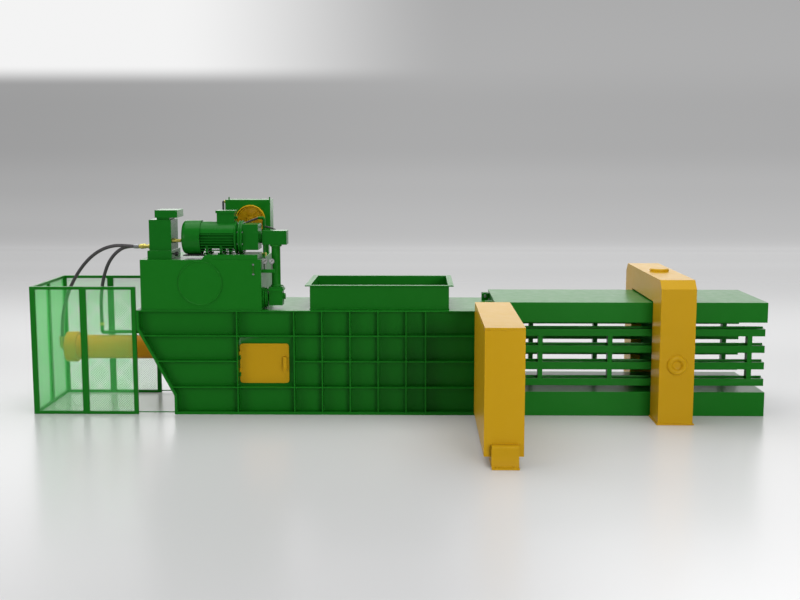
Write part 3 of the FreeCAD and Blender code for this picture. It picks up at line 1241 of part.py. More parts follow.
def gauge_set():
    """Bar on the tank's side, two dial gauges on stems, and the pipe from the pump."""
    bar = box("gauge_bar", ("tank_end", "gauge_across - 20", "gauge_bar_height - 20"),
              ("gauge_bar_length", "40", "41"))
    stems = [hexagon(f"gauge_stem_{step}", (along, "gauge_across", "gauge_bar_height"), "7",
                     "gauge_height - gauge_radius - gauge_bar_height") for step, along in enumerate(GAUGE_PLACES)]
    line = hexagon("gauge_pipe", ("tank_end + 20", "gauge_across + 60", "gauge_bar_height - 10"), "9",
                   "motor_axis - pump_height / 2 - gauge_bar_height + 10", "Z", 8)
    lug = box("gauge_pipe_lug", ("tank_end + 5", "gauge_across", "gauge_bar_height - 20"), ("30", "72", "30"))
    dials = []
    for step, along in enumerate(GAUGE_PLACES):
        case = cut(f"gauge_case_{step}",
                   hexagon(f"gauge_can_{step}", (along, "gauge_across + 12", "gauge_height"), "gauge_radius", "26",
                           "-Y", 20),
                   hexagon(f"gauge_recess_{step}", (along, "gauge_across - 6", "gauge_height"), "gauge_radius - 3",
                           "8", "-Y", 20))
        post = drum(f"needle_post_{step}", (along, "gauge_across - 6", "gauge_height"), "1.5", "5", "-Y")
        dials.append(fuse(f"gauge_{step}", case, post))
    needles = []
    for step, along in enumerate(GAUGE_PLACES):
        arm = box(f"needle_arm_{step}", ("0", "0", "0"), ("3", "1.5", "gauge_radius - 6"))
        arm.Placement.Rotation = Rotation(Vector(0, 1, 0), GAUGE_ZERO)
        put(arm, (f"{along} - 1.5 * cos({GAUGE_ZERO})", "gauge_across - 10",
                  f"gauge_height + 1.5 * sin({GAUGE_ZERO})"))
        tail = box(f"needle_tail_{step}", ("0", "0", "0"), ("10", "1.5", "14"))
        tail.Placement.Rotation = Rotation(Vector(0, 1, 0), GAUGE_ZERO)
        put(tail, (f"{along} - 5 * cos({GAUGE_ZERO}) - 14 * sin({GAUGE_ZERO})", "gauge_across - 10",
                   f"gauge_height + 5 * sin({GAUGE_ZERO}) - 14 * cos({GAUGE_ZERO})"))
        hub = drum(f"needle_hub_{step}", (along, "gauge_across - 8.5", "gauge_height"), "4", "2", "-Y")
        hole = drum(f"needle_hole_{step}", (along, "gauge_across - 5", "gauge_height"), "1.5 + pin_slack", "10", "-Y")
        needles.append(cut(f"gauge_needle_{step + 1}", fuse(f"needle_blank_{step}", arm, tail, hub), hole))
    return fuse("gauge_manifold", bar, *stems, line, lug), group("pressure_gauges", *dials), *needles


GAUGE_PLACES = ("tank_end + gauge_radius + 1", "tank_end + gauge_radius + 81")
GAUGE_ZERO = 225


def valve_stack():
    """Manifold base, manifold block and the directional valve on top of it."""
    base = box("manifold_foot", ("manifold_start - 16", "tank_side + 60", "tank_top"),
               ("manifold_length + 24", "manifold_depth + 120", "manifold_base"))
    block = box("manifold_block", ("manifold_start", "manifold_side", "tank_top + manifold_base"),
                ("manifold_length", "manifold_depth", "manifold_top - tank_top - manifold_base"))
    neck = box("valve_foot", ("manifold_start + 90", "manifold_side + 20", "manifold_top"),
               ("manifold_length - 110", "manifold_depth - 80", "valve_neck"))
    valve = box("valve_body", ("manifold_start + 72", "manifold_side", "manifold_top + valve_neck"),
                ("valve_length", "manifold_depth - 30", "valve_height"))
    return fuse("valve_manifold", base, block), fuse("directional_valve", neck, valve)


def valve_knob():
    """Relief valve knob on the manifold foot's end."""
    end = "manifold_start + manifold_length + 8"
    stem = hexagon("knob_stem", (f"{end} + contact_gap", "tank_side + 120", "tank_top + 60"), "9", "40", "X", 8)
    knob = hexagon("knob_head", (f"{end} + 32", "tank_side + 120", "tank_top + 60"), "25", "34", "X", 8)
    return fuse("valve_knob", stem, knob)


def hose_fittings():
    """Two hose fittings on the manifold's rear face."""
    parts = []
    for step, route in enumerate(hose_routes()):
        at = ("manifold_start", f"{route[0][1]}", f"{route[0][2]}")
        nut = hexagon(f"fitting_nut_{step}", at, "28", "45", "-X")
        sleeve = hexagon(f"fitting_sleeve_{step}", at, "24", "fitting_length", "-X", 12)
        swivel = hexagon(f"fitting_swivel_{step}", (f"manifold_start - 90", *at[1:]), "29", "40", "-X")
        parts.append(fuse(f"fitting_{step}", nut, sleeve, swivel))
    return group("hose_fittings", *parts)


def pressure_line():
    """Pipe from the manifold's front face, behind the motor, to the pump."""
    height = get("tank_top") + 214
    side = get("manifold_side") + 40
    behind = get("motor_axis_side") + get("cowl_radius") + 60
    pump_along = get("pump_start") + get("pump_length") * 0.6
    pump_back = get("motor_axis_side") + get("pump_depth") / 2
    start = get("manifold_start") + get("manifold_length")
    route = [(start, side, height), (start + 92, side, height), (start + 92, behind, height),
             (pump_along, behind, height), (pump_along, pump_back, height)]
    pipe, _ = bent_pipe(route, 17, 45)
    nut = hexagon("pressure_nut", ("manifold_start + manifold_length", "manifold_side + 40", "tank_top + 214"),
                  "26", "50", "X")
    return fuse("pressure_line", solid("pressure_pipe", pipe), nut)


# ------------------------------------------------------------ cooler
def cooler():
    """Plate cooler on two legs, its fan shroud, the fan and two lifting eyes."""
    case = box("cooler_case", ("cooler_start", "cooler_side", "cooler_bottom"),
               ("cooler_width", "cooler_depth", "cooler_height"))
    mouth = drum("cooler_mouth", ("shroud_along", "cooler_side", "shroud_height"),
                 "shroud_radius - 12", "cooler_depth / 2", "Y")
    eyes = [hexagon(f"cooler_eye_{end}", (f"cooler_start + 40 + {end} * (cooler_width - 40 - 14)", "cooler_side + 60",
                                          "cooler_top"), "9", "32", "Z", 8) for end in (0, 1)]
    legs = [box(f"cooler_leg_{end}", (f"cooler_start + 30 + {end} * (cooler_width - 100)", "cooler_side + 10",
                                      "tank_top"), ("40", "100", "cooler_bottom - tank_top")) for end in (0, 1)]
    shroud = tube("cooler_shroud", ("shroud_along", "cooler_side", "shroud_height"), "shroud_radius",
                  "shroud_radius - 12", "40", "-Y")
    guard = [box(f"shroud_bar_{step}", ("shroud_along - shroud_radius + 6", "cooler_side - 38",
                                        f"shroud_height + {offset} - 2"), ("2 * shroud_radius - 12", "4", "4"))
             for step, offset in enumerate((-20, 20))]
    hub = drum("fan_post", ("shroud_along", "cooler_side + cooler_depth / 2", "shroud_height"), "14", "130", "-Y")
    body = fuse("cooler_box", cut("cooler_opened", case, mouth), *eyes, hub, *legs)
    return body, fuse("cooler_fan_shroud", shroud, *guard)


def cooler_fan():
    """Six-bladed fan on the cooler's post."""
    hub = drum("cooler_fan_hub", ("shroud_along", "cooler_side + 75", "shroud_height"), "45", "60", "-Y")
    blades = []
    for step in range(6):
        angle = step * 60
        blade = box(f"cooler_blade_{step}", ("0", "0", "0"), ("40", "10", "shroud_radius - 55"))
        blade.Placement.Rotation = Rotation(Vector(0, 1, 0), angle)
        put(blade, (f"shroud_along + 35 * sin({angle}) - 20 * cos({angle})", "cooler_side + 30",
                    f"shroud_height + 35 * cos({angle}) + 20 * sin({angle})"))
        blades.append(blade)
    hole = drum("cooler_fan_bore", ("shroud_along", "cooler_side + 80", "shroud_height"), "14 + pin_slack", "70", "-Y")
    return cut("cooler_fan", fuse("cooler_fan_blank", hub, *blades), hole)


def cooler_hoses():
    """Held hoses between cooler, tank and pump, and the return pipe that rises behind the bell housing."""
    top = get("tank_top")
    rear = get("cooler_start")
    back = get("cooler_side")
    high = get("cooler_top") - 25
    feed = [(rear, back + 60, high), (rear - 34, back + 60, high), (rear - 34, back + 60, top)]
    inlet, _ = bent_pipe(feed, 13, 28)
    pipe = get("bell_start") + get("bell_length") + 4
    side = get("return_across")
    rise = [(pipe, side, top), (pipe, side, top + get("return_rise")),
            (pipe - get("return_turn"), side, top + get("return_rise"))]
    riser, _ = bent_pipe(rise, 18, 34)
    link = fitted(COOLER_ROUTE, rise[-1], (rear + get("cooler_port_along"), back, top + get("cooler_port_rise")))
    outlet, _ = sweep(link, 13, cord_bends(link), PIPE_SIDES)
    pump_back = get("motor_axis_side") + get("pump_depth") / 2
    drain = fitted(DRAIN_ROUTE, (pipe + 16, side - 18, top + get("drain_rise")),
                   (pipe + get("drain_reach"), pump_back, top + get("drain_port_rise")))
    case_drain, _ = sweep(drain, 10, cord_bends(drain), PIPE_SIDES)
    return group("cooler_hoses", solid("return_pipe", riser), solid("cooler_hose_feed", inlet),
                 solid("cooler_hose_return", outlet), solid("pump_drain_hose", case_drain))


# ------------------------------------------------------------ main hoses
# Corner points of each flexible hose at the first sizes; fitted() stretches them between their present ends.
COOLER_ROUTE = ((2620, 600, 2286), (2555, 602, 2266), (2446, 610, 2221), (2372, 650, 2165), (2335, 720, 2122),
                (2325, 820, 2106), (2325, 950, 2106))
DRAIN_ROUTE = ((2696, 582, 2184), (2750, 520, 2181), (2820, 466, 2166), (2893, 430, 2130), (2930, 396, 2080),
               (2930, 345, 2080))
HOSE_CAP_ROUTE = ((1190, 220, 1972), (1040, 238, 1988), (860, 288, 1962), (690, 345, 1880), (540, 398, 1748),
                  (415, 440, 1585), (310, 485, 1400), (232, 540, 1195), (185, 592, 1000), (172, 620, 830))
HOSE_ROD_ROUTE = ((1190, 340, 1965), (1062, 355, 1963), (935, 385, 1892), (832, 416, 1770), (765, 447, 1617),
                  (722, 477, 1455), (697, 507, 1290), (686, 538, 1145), (684, 562, 1014))


def fitted(route, start, end):
    """Stretches a route between two places, each direction on its own."""
    first = route[0]
    last = route[-1]
    scale = [(end[axis] - start[axis]) / (last[axis] - first[axis]) for axis in range(3)]
    return [tuple(start[axis] + (point[axis] - first[axis]) * scale[axis] for axis in range(3)) for point in route]


def hose_routes():
    """The two main hoses from the manifold's fittings to the cylinder's rear cap and rod-end pipe."""
    fitting = get("manifold_start") - get("fitting_length")
    side = get("manifold_side")
    top = get("tank_top")
    cap = get("cap_start")
    axis = get("cylinder_axis")
    cap_end = fitted(HOSE_CAP_ROUTE, (fitting, side + 100, top + 140), (cap - 63, get("middle"), axis + 127))
    rod_end = fitted(HOSE_ROD_ROUTE, (fitting, side + 220, top + 133), (cap + 449, get("middle") - 58, axis + 311))
    return cap_end, rod_end


def main_hoses():
    """The two free hoses, each a tube on its route."""
    made = []
    for label, route in zip(("main_hose_cap_end", "main_hose_rod_end"), hose_routes()):
        bends = cord_bends(route)
        shape, length = sweep(route, get("hose_radius"), bends, HOSE_SIDES)
        section = math.pi * get("hose_radius") ** 2
        print(label, "length", round(length), "bend radii", [round(bend) for bend in bends],
              "volume ratio", round(shape.Volume / (section * length), 4))
        made.append(solid(label, shape))
    return made


# ------------------------------------------------------------ guard cage
def cage_frame():
    """Posts and rails of the guard, open towards the body, with two floor bars to it."""
    depth = "cage_bar_depth"
    parts = []
    for side, across in (("near", "0"), ("far", f"machine_width - {depth}")):
        posts = (("rear", "0", "cage_post"), ("mid", "cage_length / 2 - cage_mid_post / 2", "cage_mid_post"),
                 ("end", "cage_length - cage_end_post", "cage_end_post"))
        for place, along, width in posts:
            parts.append(box(f"post_{side}_{place}", (along, across, "0"), (width, depth, "cage_height")))
        for place, height in (("low", "0"), ("high", "cage_height - cage_rail")):
            parts.append(box(f"rail_{side}_{place}", ("0", across, height), ("cage_length", depth, "cage_rail")))
        parts.append(box(f"tie_bar_{side}", ("cage_length - cage_end_post", f"{across} + 12", "20"),
                         ("body_gap + slope_run + cage_end_post", "tie_bar_size", "tie_bar_size")))
    parts.append(box("post_rear_mid", ("0", "middle - cage_post / 2", "0"), (depth, "cage_post", "cage_height")))
    for place, height in (("low", "0"), ("high", "cage_height - cage_rail")):
        parts.append(box(f"rail_rear_{place}", ("0", "0", height), (depth, "machine_width", "cage_rail")))
    return fuse("cage_frame", *parts)


def cage_mesh():
    """Six mesh panels between posts and rails."""
    low = "cage_rail + mesh_slack"
    tall = "cage_height - 2 * cage_rail - 2 * mesh_slack"
    panels = []
    for side, across in (("near", "cage_bar_depth / 2 - mesh_plate / 2"),
                         ("far", "machine_width - cage_bar_depth / 2 - mesh_plate / 2")):
        run = "cage_length / 2 - cage_post - cage_mid_post / 2 - 2 * mesh_slack"
        panels.append(box(f"mesh_{side}_rear", ("cage_post + mesh_slack", across, low), (run, "mesh_plate", tall)))
        run = "cage_length / 2 - cage_end_post - cage_mid_post / 2 - 2 * mesh_slack"
        panels.append(box(f"mesh_{side}_front", ("cage_length / 2 + cage_mid_post / 2 + mesh_slack", across, low),
                          (run, "mesh_plate", tall)))
    run = "middle - cage_bar_depth - cage_post / 2 - 2 * mesh_slack"
    for side, across in (("near", "cage_bar_depth + mesh_slack"), ("far", "middle + cage_post / 2 + mesh_slack")):
        panels.append(box(f"mesh_rear_{side}", ("cage_bar_depth / 2 - mesh_plate / 2", across, low),
                          ("mesh_plate", run, tall)))
    return group("cage_mesh", *panels)


# ------------------------------------------------------------ the whole machine
def build():
    """Makes every piece and returns the ones that are written out."""
    nodes = [near_wall(), far_wall(), press_floor(), press_roof(), hinge_pins(), cylinder_bulkhead(), fixed_blade(),
             feed_hopper(), door_hinge_brackets(), access_door(), *main_cylinder(), ram_rod(), ram_box(),
             ram_blade(), ram_shoes(), cylinder_ports(), bottom_plate(), top_plate(), *slat_walls(),
             tension_collar()]
    nodes.append(group("tension_cylinders", *[tension_cylinder(side, along) for side, along in TENSION]))
    nodes += [tension_rod(side, along) for side, along in TENSION]
    nodes += [tie_housing(), tie_lid(), tie_neck(), needle_carriage(), oil_tank(), tank_cleanout_cover(),
              tank_level_gauge(), motor_base(), motor_housing(), motor_fan_cowl(), motor_terminal_box(),
              motor_rotor(), bell_housing(), hydraulic_pump(), suction_line(), *gauge_set(), *valve_stack(),
              valve_knob(), hose_fittings(), pressure_line(), *cooler(), cooler_fan(), cooler_hoses(),
              *main_hoses(), cage_frame(), cage_mesh()]
    doc.recompute()
    return nodes


def settle(nodes):
    """Moves every piece from the building frame to the machine's own origin."""
    for node in nodes:
        place = node.Placement.Base
        if node.TypeId in ("Part::Box", "Part::Cylinder", "Part::Prism", "Part::Revolution"):
            for axis, shift in (("x", "origin_along"), ("y", "origin_across")):
                path = f"Placement.Base.{axis}"
                present = dict(node.ExpressionEngine).get("." + path) or dict(node.ExpressionEngine).get(path)
                node.setExpression(path, f"{present} - {bound(shift)}")
        else:
            bind(node, "Placement.Base.x", "0 - origin_along")
            bind(node, "Placement.Base.y", "0 - origin_across")
    doc.recompute()


def check():
    """Stops if any object of the document failed."""
    bad = [f"{thing.Label}: {thing.State}" for thing in doc.Objects if {"Invalid", "Error"} & set(thing.State)]
    if bad:
        raise SystemExit("failed objects: " + ", ".join(bad))


def write(nodes):
    """Writes every piece as a STEP file, after checking its shape."""
    os.makedirs("parts", exist_ok=True)
    bad = [node.Label for node in nodes
           if node.Shape.isNull() or not node.Shape.isValid() or node.Shape.Volume <= 0]
    if bad:
        raise SystemExit("bad shapes: " + ", ".join(bad))
    for node in nodes:
        node.Shape.exportStep(f"parts/{node.Label}.step")
    print(len(nodes), "pieces")


fill_sheet()
pieces = build()
check()
settle(pieces)
check()
write(pieces)
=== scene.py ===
# %% [markdown]
# # Recycling baler
# A horizontal channel baler on a pale studio floor. The construction comes from the frame;
# this scene gives it enamel, hoses, wire mesh, bolts, welds and light. Blender's lengths are
# metres. Points and profiles of the turned pieces are millimetres, as on a drawing.

import json
import math

import bmesh
import bpy
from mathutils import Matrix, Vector


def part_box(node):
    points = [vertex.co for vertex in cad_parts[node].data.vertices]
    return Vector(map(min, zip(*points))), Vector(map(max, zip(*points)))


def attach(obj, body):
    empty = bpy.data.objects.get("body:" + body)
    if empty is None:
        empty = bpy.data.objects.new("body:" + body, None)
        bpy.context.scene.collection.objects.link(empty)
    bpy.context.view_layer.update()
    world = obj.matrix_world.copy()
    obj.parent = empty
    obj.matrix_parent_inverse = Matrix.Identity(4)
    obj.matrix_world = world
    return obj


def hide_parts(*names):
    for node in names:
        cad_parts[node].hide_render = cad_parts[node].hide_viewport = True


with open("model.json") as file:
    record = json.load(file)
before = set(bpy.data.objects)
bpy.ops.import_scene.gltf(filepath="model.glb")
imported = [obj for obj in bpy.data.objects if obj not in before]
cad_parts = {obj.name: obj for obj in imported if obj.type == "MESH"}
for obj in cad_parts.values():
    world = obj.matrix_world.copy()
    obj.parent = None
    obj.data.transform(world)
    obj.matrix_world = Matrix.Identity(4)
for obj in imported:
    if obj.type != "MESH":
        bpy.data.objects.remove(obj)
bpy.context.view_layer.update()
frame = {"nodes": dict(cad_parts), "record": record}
nodes = frame["nodes"]
record = frame["record"]
body_of_node = {name: body for body, members in record["behaviour"]["bodies"].items() for name in members}
slot_of_node = {part["node"]: part["material_slot"] for part in record["subparts"]}

# %% [markdown]
# ## Camera
# The eye point, the tilt and the lens were solved from the machine's own right angles in the
# photograph, so the camera stands where the photographer's did.

# %% Camera
EYE_POINT = (0.220, -12.562, 3.07)
TILT_DOWN = 7.54  # degrees
TURN_LEFT = 0.836  # degrees
LENS, SENSOR = 50.16, 36  # mm


def linked(name, data):
    """A new object at the origin, for a mesh, a curve, a lamp or the camera."""
    made = bpy.data.objects.new(name, data)
    bpy.context.scene.collection.objects.link(made)
    return made


camera_data = bpy.data.cameras.new("Studio camera")
camera_data.sensor_width = SENSOR
camera_data.lens = LENS
camera = linked("Studio camera", camera_data)
camera.location = EYE_POINT
camera.rotation_euler = (math.radians(90 - TILT_DOWN), 0, math.radians(TURN_LEFT))
bpy.context.scene.camera = camera
bpy.context.scene.view_settings.view_transform = "Standard"
print("camera at", tuple(round(value, 3) for value in camera.location))

# %% [markdown]
# ## Colours and nodes
# Paint makers give colours as sRGB hex values, but a shader works in linear light, so one
# function turns the first into the second. Another adds a node, sets its properties, and
# feeds its inputs with plain values or with the outputs of the nodes before it.

# %% Small helpers
MATH = "ShaderNodeMath"
NOISE = "ShaderNodeTexNoise"
TO_RANGE = "ShaderNodeMapRange"
COMBINE = "ShaderNodeCombineXYZ"


def linear(hex_colour):
    """An sRGB hex value as linear red, green, blue and full alpha."""
    channels = [int(hex_colour[start:start + 2], 16) / 255 for start in (1, 3, 5)]
    return tuple(c / 12.92 if c <= 0.04045 else ((c + 0.055) / 1.055) ** 2.4 for c in channels) + (1.0,)


def feed(tree, node, inputs):
    """Sets a node's inputs, or links them: a node as a value means its first output."""
    for name, value in inputs.items() if isinstance(inputs, dict) else enumerate(inputs):
        if isinstance(value, bpy.types.Node):
            value = value.outputs[0]
        if isinstance(value, bpy.types.NodeSocket):
            tree.links.new(value, node.inputs[name])
        else:
            node.inputs[name].default_value = value


def add(tree, kind, inputs=(), **settings):
    """Adds a node with its settings and its inputs, given by name or in their order."""
    made = tree.nodes.new(kind)
    for name, value in settings.items():
        setattr(made, name, value)
    feed(tree, made, inputs)
    return made


def blank_material(name):
    """A new material with an empty tree, its object coordinates and its surface shader."""
    made = bpy.data.materials.new(name)
    made.use_nodes = True
    tree = made.node_tree
    tree.nodes.clear()
    place = add(tree, "ShaderNodeTexCoord").outputs["Object"]
    shader = add(tree, "ShaderNodeBsdfPrincipled")
    add(tree, "ShaderNodeOutputMaterial", {"Surface": shader})
    return made, tree, place, shader


print("linear enamel green", [round(v, 3) for v in linear("#167219")])

# %% [markdown]
# ## Enamel
# Machine paint is an alkyd enamel sprayed on steel plate. It gives a saturated colour that goes
# pale where the eye meets it at a flat angle, because the film mirrors the studio there. Such a
# film has an IOR near 1.5. Under these wide lamps 1.20 gives the even fronts of the photograph.
# The skin is never quite flat either: the plate waves over half a metre, and the spray leaves
# an orange peel of a few millimetres. The peel is drawn at 12 mm, because a finer one would not
# show from thirteen metres away. The colour drifts a little, and the film is thinner and paler
# where hands and dust have rubbed it.

# %% Enamel
DRIFT, GRIME, WAVE, PEEL = 1.6, 9.0, 2.2, 85.0  # waves in a metre: 625, 111, 455 and 12 mm long


def enamel(name, colour, worn, roughness=0.30):
    """Gloss enamel: drifting colour, patchy gloss, plate waves and orange peel."""
    made, tree, place, shader = blank_material(name)
    drift = add(tree, NOISE, {"Vector": place, "Scale": DRIFT, "Detail": 4.0, "Roughness": 0.6})
    grime = add(tree, NOISE, {"Vector": place, "Scale": GRIME, "Detail": 6.0, "Roughness": 0.65})
    patch = add(tree, MATH, (drift, grime), operation="MULTIPLY")
    rubbed = add(tree, TO_RANGE, {"Value": patch, "From Min": 0.20, "From Max": 0.42, "To Max": 0.22})
    mixed = add(tree, "ShaderNodeMix", {0: rubbed, 6: linear(colour), 7: linear(worn)}, data_type="RGBA")
    gloss = add(tree, TO_RANGE, {"Value": grime, "From Min": 0.3, "From Max": 0.7,
                                 "To Min": roughness - 0.02, "To Max": roughness + 0.04})
    wave = add(tree, NOISE, {"Vector": place, "Scale": WAVE, "Detail": 2.0})
    peel = add(tree, NOISE, {"Vector": place, "Scale": PEEL, "Detail": 2.0})
    waved = add(tree, "ShaderNodeBump", {"Strength": 0.12, "Distance": 0.005, "Height": wave})
    skin = add(tree, "ShaderNodeBump", {
        "Strength": 0.06, "Distance": 0.0008, "Height": peel, "Normal": waved})
    feed(tree, shader, {"Base Color": mixed.outputs[2], "Roughness": gloss, "Normal": skin, "IOR": 1.20})
    return made


finishes = {
    "green_paint": enamel("Green gloss enamel", "#167219", "#1C7B21"),
    "yellow_paint": enamel("Yellow gloss enamel", "#C99C14", "#CEA324"),
    "orange_paint": enamel("Orange gloss enamel", "#E69A1C", "#EAA32E"),
    # Motor green: darker than the plate green, partly the motor's own enamel and partly painted shade on the
    # power unit.
    "motor_green": enamel("Motor green enamel", "#146A1A", "#1B7422", 0.24),
    # Guard wires: green paint drawn pale, partly as painted highlight of light on the round wires.
    "mesh_paint": enamel("Light green wire coating", "#74EE84", "#82F292", 0.42),
}
print("enamels:", ", ".join(made.name for made in finishes.values()))

# %% [markdown]
# ## Metals, rubber and plastic
# Bare metals are told apart by how they were made: rolled and brushed steel has fine streaks,
# a chromed rod is nearly a mirror, and passivated zinc is a pale warm yellow. Rubber and
# moulded plastic have no colour of their own to speak of, only a broad dull sheen. A printed
# dial is as dull, so it shares their function. Streaks are drawn 2 to 6 mm wide and the grain
# 2 to 5 mm. Real ones are far finer, and would not show even in a near view.

# %% Metals
STAIN = 11.0  # waves in a metre: patches of 91 mm


def bare_metal(name, colour, dark, roughness, streaks):
    """A metal whose streaks run along X, as rolling, grinding or turning leaves them."""
    made, tree, place, shader = blank_material(name)
    stretched = add(tree, "ShaderNodeMapping", {"Vector": place, "Scale": (2.0, streaks, streaks)})
    grain = add(tree, NOISE, {"Vector": stretched, "Scale": 3.0, "Detail": 5.0})
    stain = add(tree, NOISE, {"Vector": place, "Scale": STAIN, "Detail": 4.0})
    mixed = add(tree, "ShaderNodeMix", {0: stain, 6: linear(colour), 7: linear(dark)}, data_type="RGBA")
    rough = add(tree, TO_RANGE, {"Value": grain, "From Min": 0.3, "From Max": 0.7,
                                 "To Min": roughness * 0.8, "To Max": roughness * 1.3})
    bump = add(tree, "ShaderNodeBump", {"Strength": 0.12, "Distance": 0.0005, "Height": grain})
    feed(tree, shader, {"Base Color": mixed.outputs[2], "Roughness": rough, "Normal": bump, "Metallic": 1.0})
    return made


finishes["bare_steel"] = bare_metal("Brushed mild steel", "#A9ABAC", "#7E8082", 0.32, 120.0)
finishes["chromed_rod"] = bare_metal("Hard chromed steel", "#D5D7DA", "#C3C6CA", 0.10, 60.0)
finishes["tool_steel"] = bare_metal("Ground tool steel", "#8F9296", "#6C6F73", 0.28, 200.0)
finishes["zinc_steel"] = bare_metal("Yellow passivated zinc", "#D3C96E", "#B8AB55", 0.34, 90.0)
print("metals and enamels:", len(finishes))

# %% Rubber, plastic and dial
CLOUD = 14.0  # waves in a metre: clouds of 71 mm


def dull_solid(name, colour, second, roughness, grain, depth):
    """A dull material: clouds of two near shades and a fine grain."""
    made, tree, place, shader = blank_material(name)
    cloud = add(tree, NOISE, {"Vector": place, "Scale": CLOUD, "Detail": 5.0})
    fine = add(tree, NOISE, {"Vector": place, "Scale": grain, "Detail": 3.0})
    mixed = add(tree, "ShaderNodeMix", {0: cloud, 6: linear(colour), 7: linear(second)}, data_type="RGBA")
    rough = add(tree, TO_RANGE, {"Value": fine, "To Min": roughness - 0.06, "To Max": roughness + 0.08})
    bump = add(tree, "ShaderNodeBump", {"Strength": 0.25, "Distance": depth, "Height": fine})
    feed(tree, shader, {"Base Color": mixed.outputs[2], "Roughness": rough, "Normal": bump})
    return made


finishes["hose_rubber"] = dull_solid("Extruded hose rubber", "#4B4749", "#393639", 0.42, 300.0, 0.0006)
finishes["black_plastic"] = dull_solid("Moulded black plastic", "#1B1B1C", "#242425", 0.38, 400.0, 0.0003)
finishes["gauge_face"] = dull_solid("Printed dial enamel", "#BFC2BE", "#B4B7B3", 0.30, 200.0, 0.0001)
print("finishes:", len(finishes))

# %% [markdown]
# ## Main hoses
# Two wire-braided rubber hoses, 41 mm thick, run from the valve manifold over the guard and
# down to the main cylinder. They are stiff and full of oil, so each is one smooth NURBS line
# through the route that the construction uses. The photograph shows both from end to end.

# %% Main hoses
HOSE_DIAMETER = 0.041
CAP_ROUTE = ((-3.110, 0.508, 1.972), (-3.260, 0.526, 1.988), (-3.440, 0.576, 1.962), (-3.610, 0.633, 1.880),
             (-3.760, 0.686, 1.748), (-3.885, 0.728, 1.585), (-3.990, 0.773, 1.400), (-4.068, 0.828, 1.195),
             (-4.115, 0.880, 1.000), (-4.128, 0.908, 0.830))
ROD_ROUTE = ((-3.110, 0.628, 1.965), (-3.238, 0.643, 1.963), (-3.365, 0.673, 1.892), (-3.468, 0.704, 1.770),
             (-3.535, 0.735, 1.617), (-3.578, 0.765, 1.455), (-3.603, 0.795, 1.290), (-3.614, 0.826, 1.145),
             (-3.616, 0.850, 1.014))


def nurbs_line(name, points, diameter):
    """A round bar or hose along one open NURBS spline of order three."""
    data = bpy.data.curves.new(name, "CURVE")
    data.dimensions = "3D"
    data.bevel_depth = diameter / 2
    data.bevel_resolution = 5
    data.resolution_u = 10
    data.use_fill_caps = True
    spline = data.splines.new("NURBS")
    spline.points.add(len(points) - 1)
    for point, place in zip(spline.points, points):
        point.co = (*place, 1.0)
    spline.order_u = 3
    spline.use_endpoint_u = True
    return linked(name, data)


for name, route, length in (("main_hose_cap_end", CAP_ROUTE, 1.772), ("main_hose_rod_end", ROD_ROUTE, 1.226)):
    hose = nurbs_line(name.replace("main_", ""), route, HOSE_DIAMETER)
    hose.data.materials.append(finishes["hose_rubber"])
    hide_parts(name)
    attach(hose, "press")
    print(hose.name, length, "m")

# %% [markdown]
# ## Plate edges
# Flame-cut and folded plate has edges a few millimetres round, and each catches a thin line of
# light. A CAD solid has knife edges, so each welded piece is shown by a copy: its triangles
# are joined, flat faces are made whole, and a bevel rounds the edges. The bevel's width is
# the real edge radius, drawn a little wider on the big plates so that it shows from afar.
# Bought-in castings and blocks of the power unit share the motor's darker enamel, as painted shade.

# %% Rounded copies
EDGE_RADII = {
    0.006: ("side_wall_near", "side_wall_far", "press_roof", "bottom_plate", "top_plate", "tension_collar",
            "oil_tank", "feed_hopper"),
    0.016: ("tie_lid",),
    0.004: ("slat_wall_near", "slat_wall_far", "tie_neck", "cage_frame", "bell_housing", "hydraulic_pump",
            "valve_manifold", "directional_valve", "cooler_box", "access_door",
            "motor_base", "ram_box", "cylinder_bulkhead", "press_floor"),
    0.002: ("needle_carriage", "ram_blade", "fixed_shear_blade", "door_hinge_brackets", "hinge_pins"),
}
PAINTED_SHADE_PIECES = ("bell_housing", "hydraulic_pump", "valve_manifold", "directional_valve")
SHARP = math.radians(28)
FLAT = math.radians(1.0)


def to_object(name, work):
    """Ends a mesh in the making: an object at the origin, smooth but for its sharp edges."""
    data = bpy.data.meshes.new(name)
    work.to_mesh(data)
    work.free()
    data.shade_smooth()
    data.set_sharp_from_angle(angle=SHARP)
    return linked(name, data)


def soften(made, radius):
    """Rounds the sharp edges of a piece and keeps its flat faces flat."""
    bevel = made.modifiers.new("Edge radius", "BEVEL")
    bevel.width = radius
    bevel.segments = 2
    bevel.limit_method = "ANGLE"
    bevel.angle_limit = SHARP
    bevel.harden_normals = True
    bevel.use_clamp_overlap = True


def show(made, body, slot_name, *replaced, finish=None):
    """Gives a finished piece its finish and its body, and hides the nodes that it stands for."""
    made.data.materials.clear()
    made.data.materials.append(finish or finishes[slot_name])
    if replaced:
        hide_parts(*replaced)
    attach(made, body)
    print(made.name, "rides on", body)
    return made


def joined(node):
    """A copy of a node's mesh with doubles merged and flat faces made whole."""
    work = bmesh.new()
    work.from_mesh(nodes[node].data)
    bmesh.ops.remove_doubles(work, verts=work.verts, dist=1e-5)
    bmesh.ops.dissolve_limit(work, angle_limit=FLAT, verts=work.verts, edges=work.edges)
    return work


def rounded(node, radius, work):
    """Shows a node by a copy with every sharp edge rounded."""
    made = to_object("plate_" + node, work)
    soften(made, radius)
    # Bought-in pieces of the power unit take the darker motor enamel as painted shade.
    finish = finishes["motor_green"] if node in PAINTED_SHADE_PIECES else None
    show(made, body_of_node[node], slot_of_node[node], node, finish=finish)


for radius, names in EDGE_RADII.items():
    for name in names:
        rounded(name, radius, joined(name))

# %% [markdown]
# ## Turned and boxed pieces
# Round pieces are turned on a lathe in the workshop, and here too: a profile of distances and
# radii goes round an axis. Drawing sizes are in millimetres from the guard's rear near corner,
# so one function turns such a point into the frame's metres, and another reads a node's box
# the other way round. A piece that replaces a node takes its place from that box.

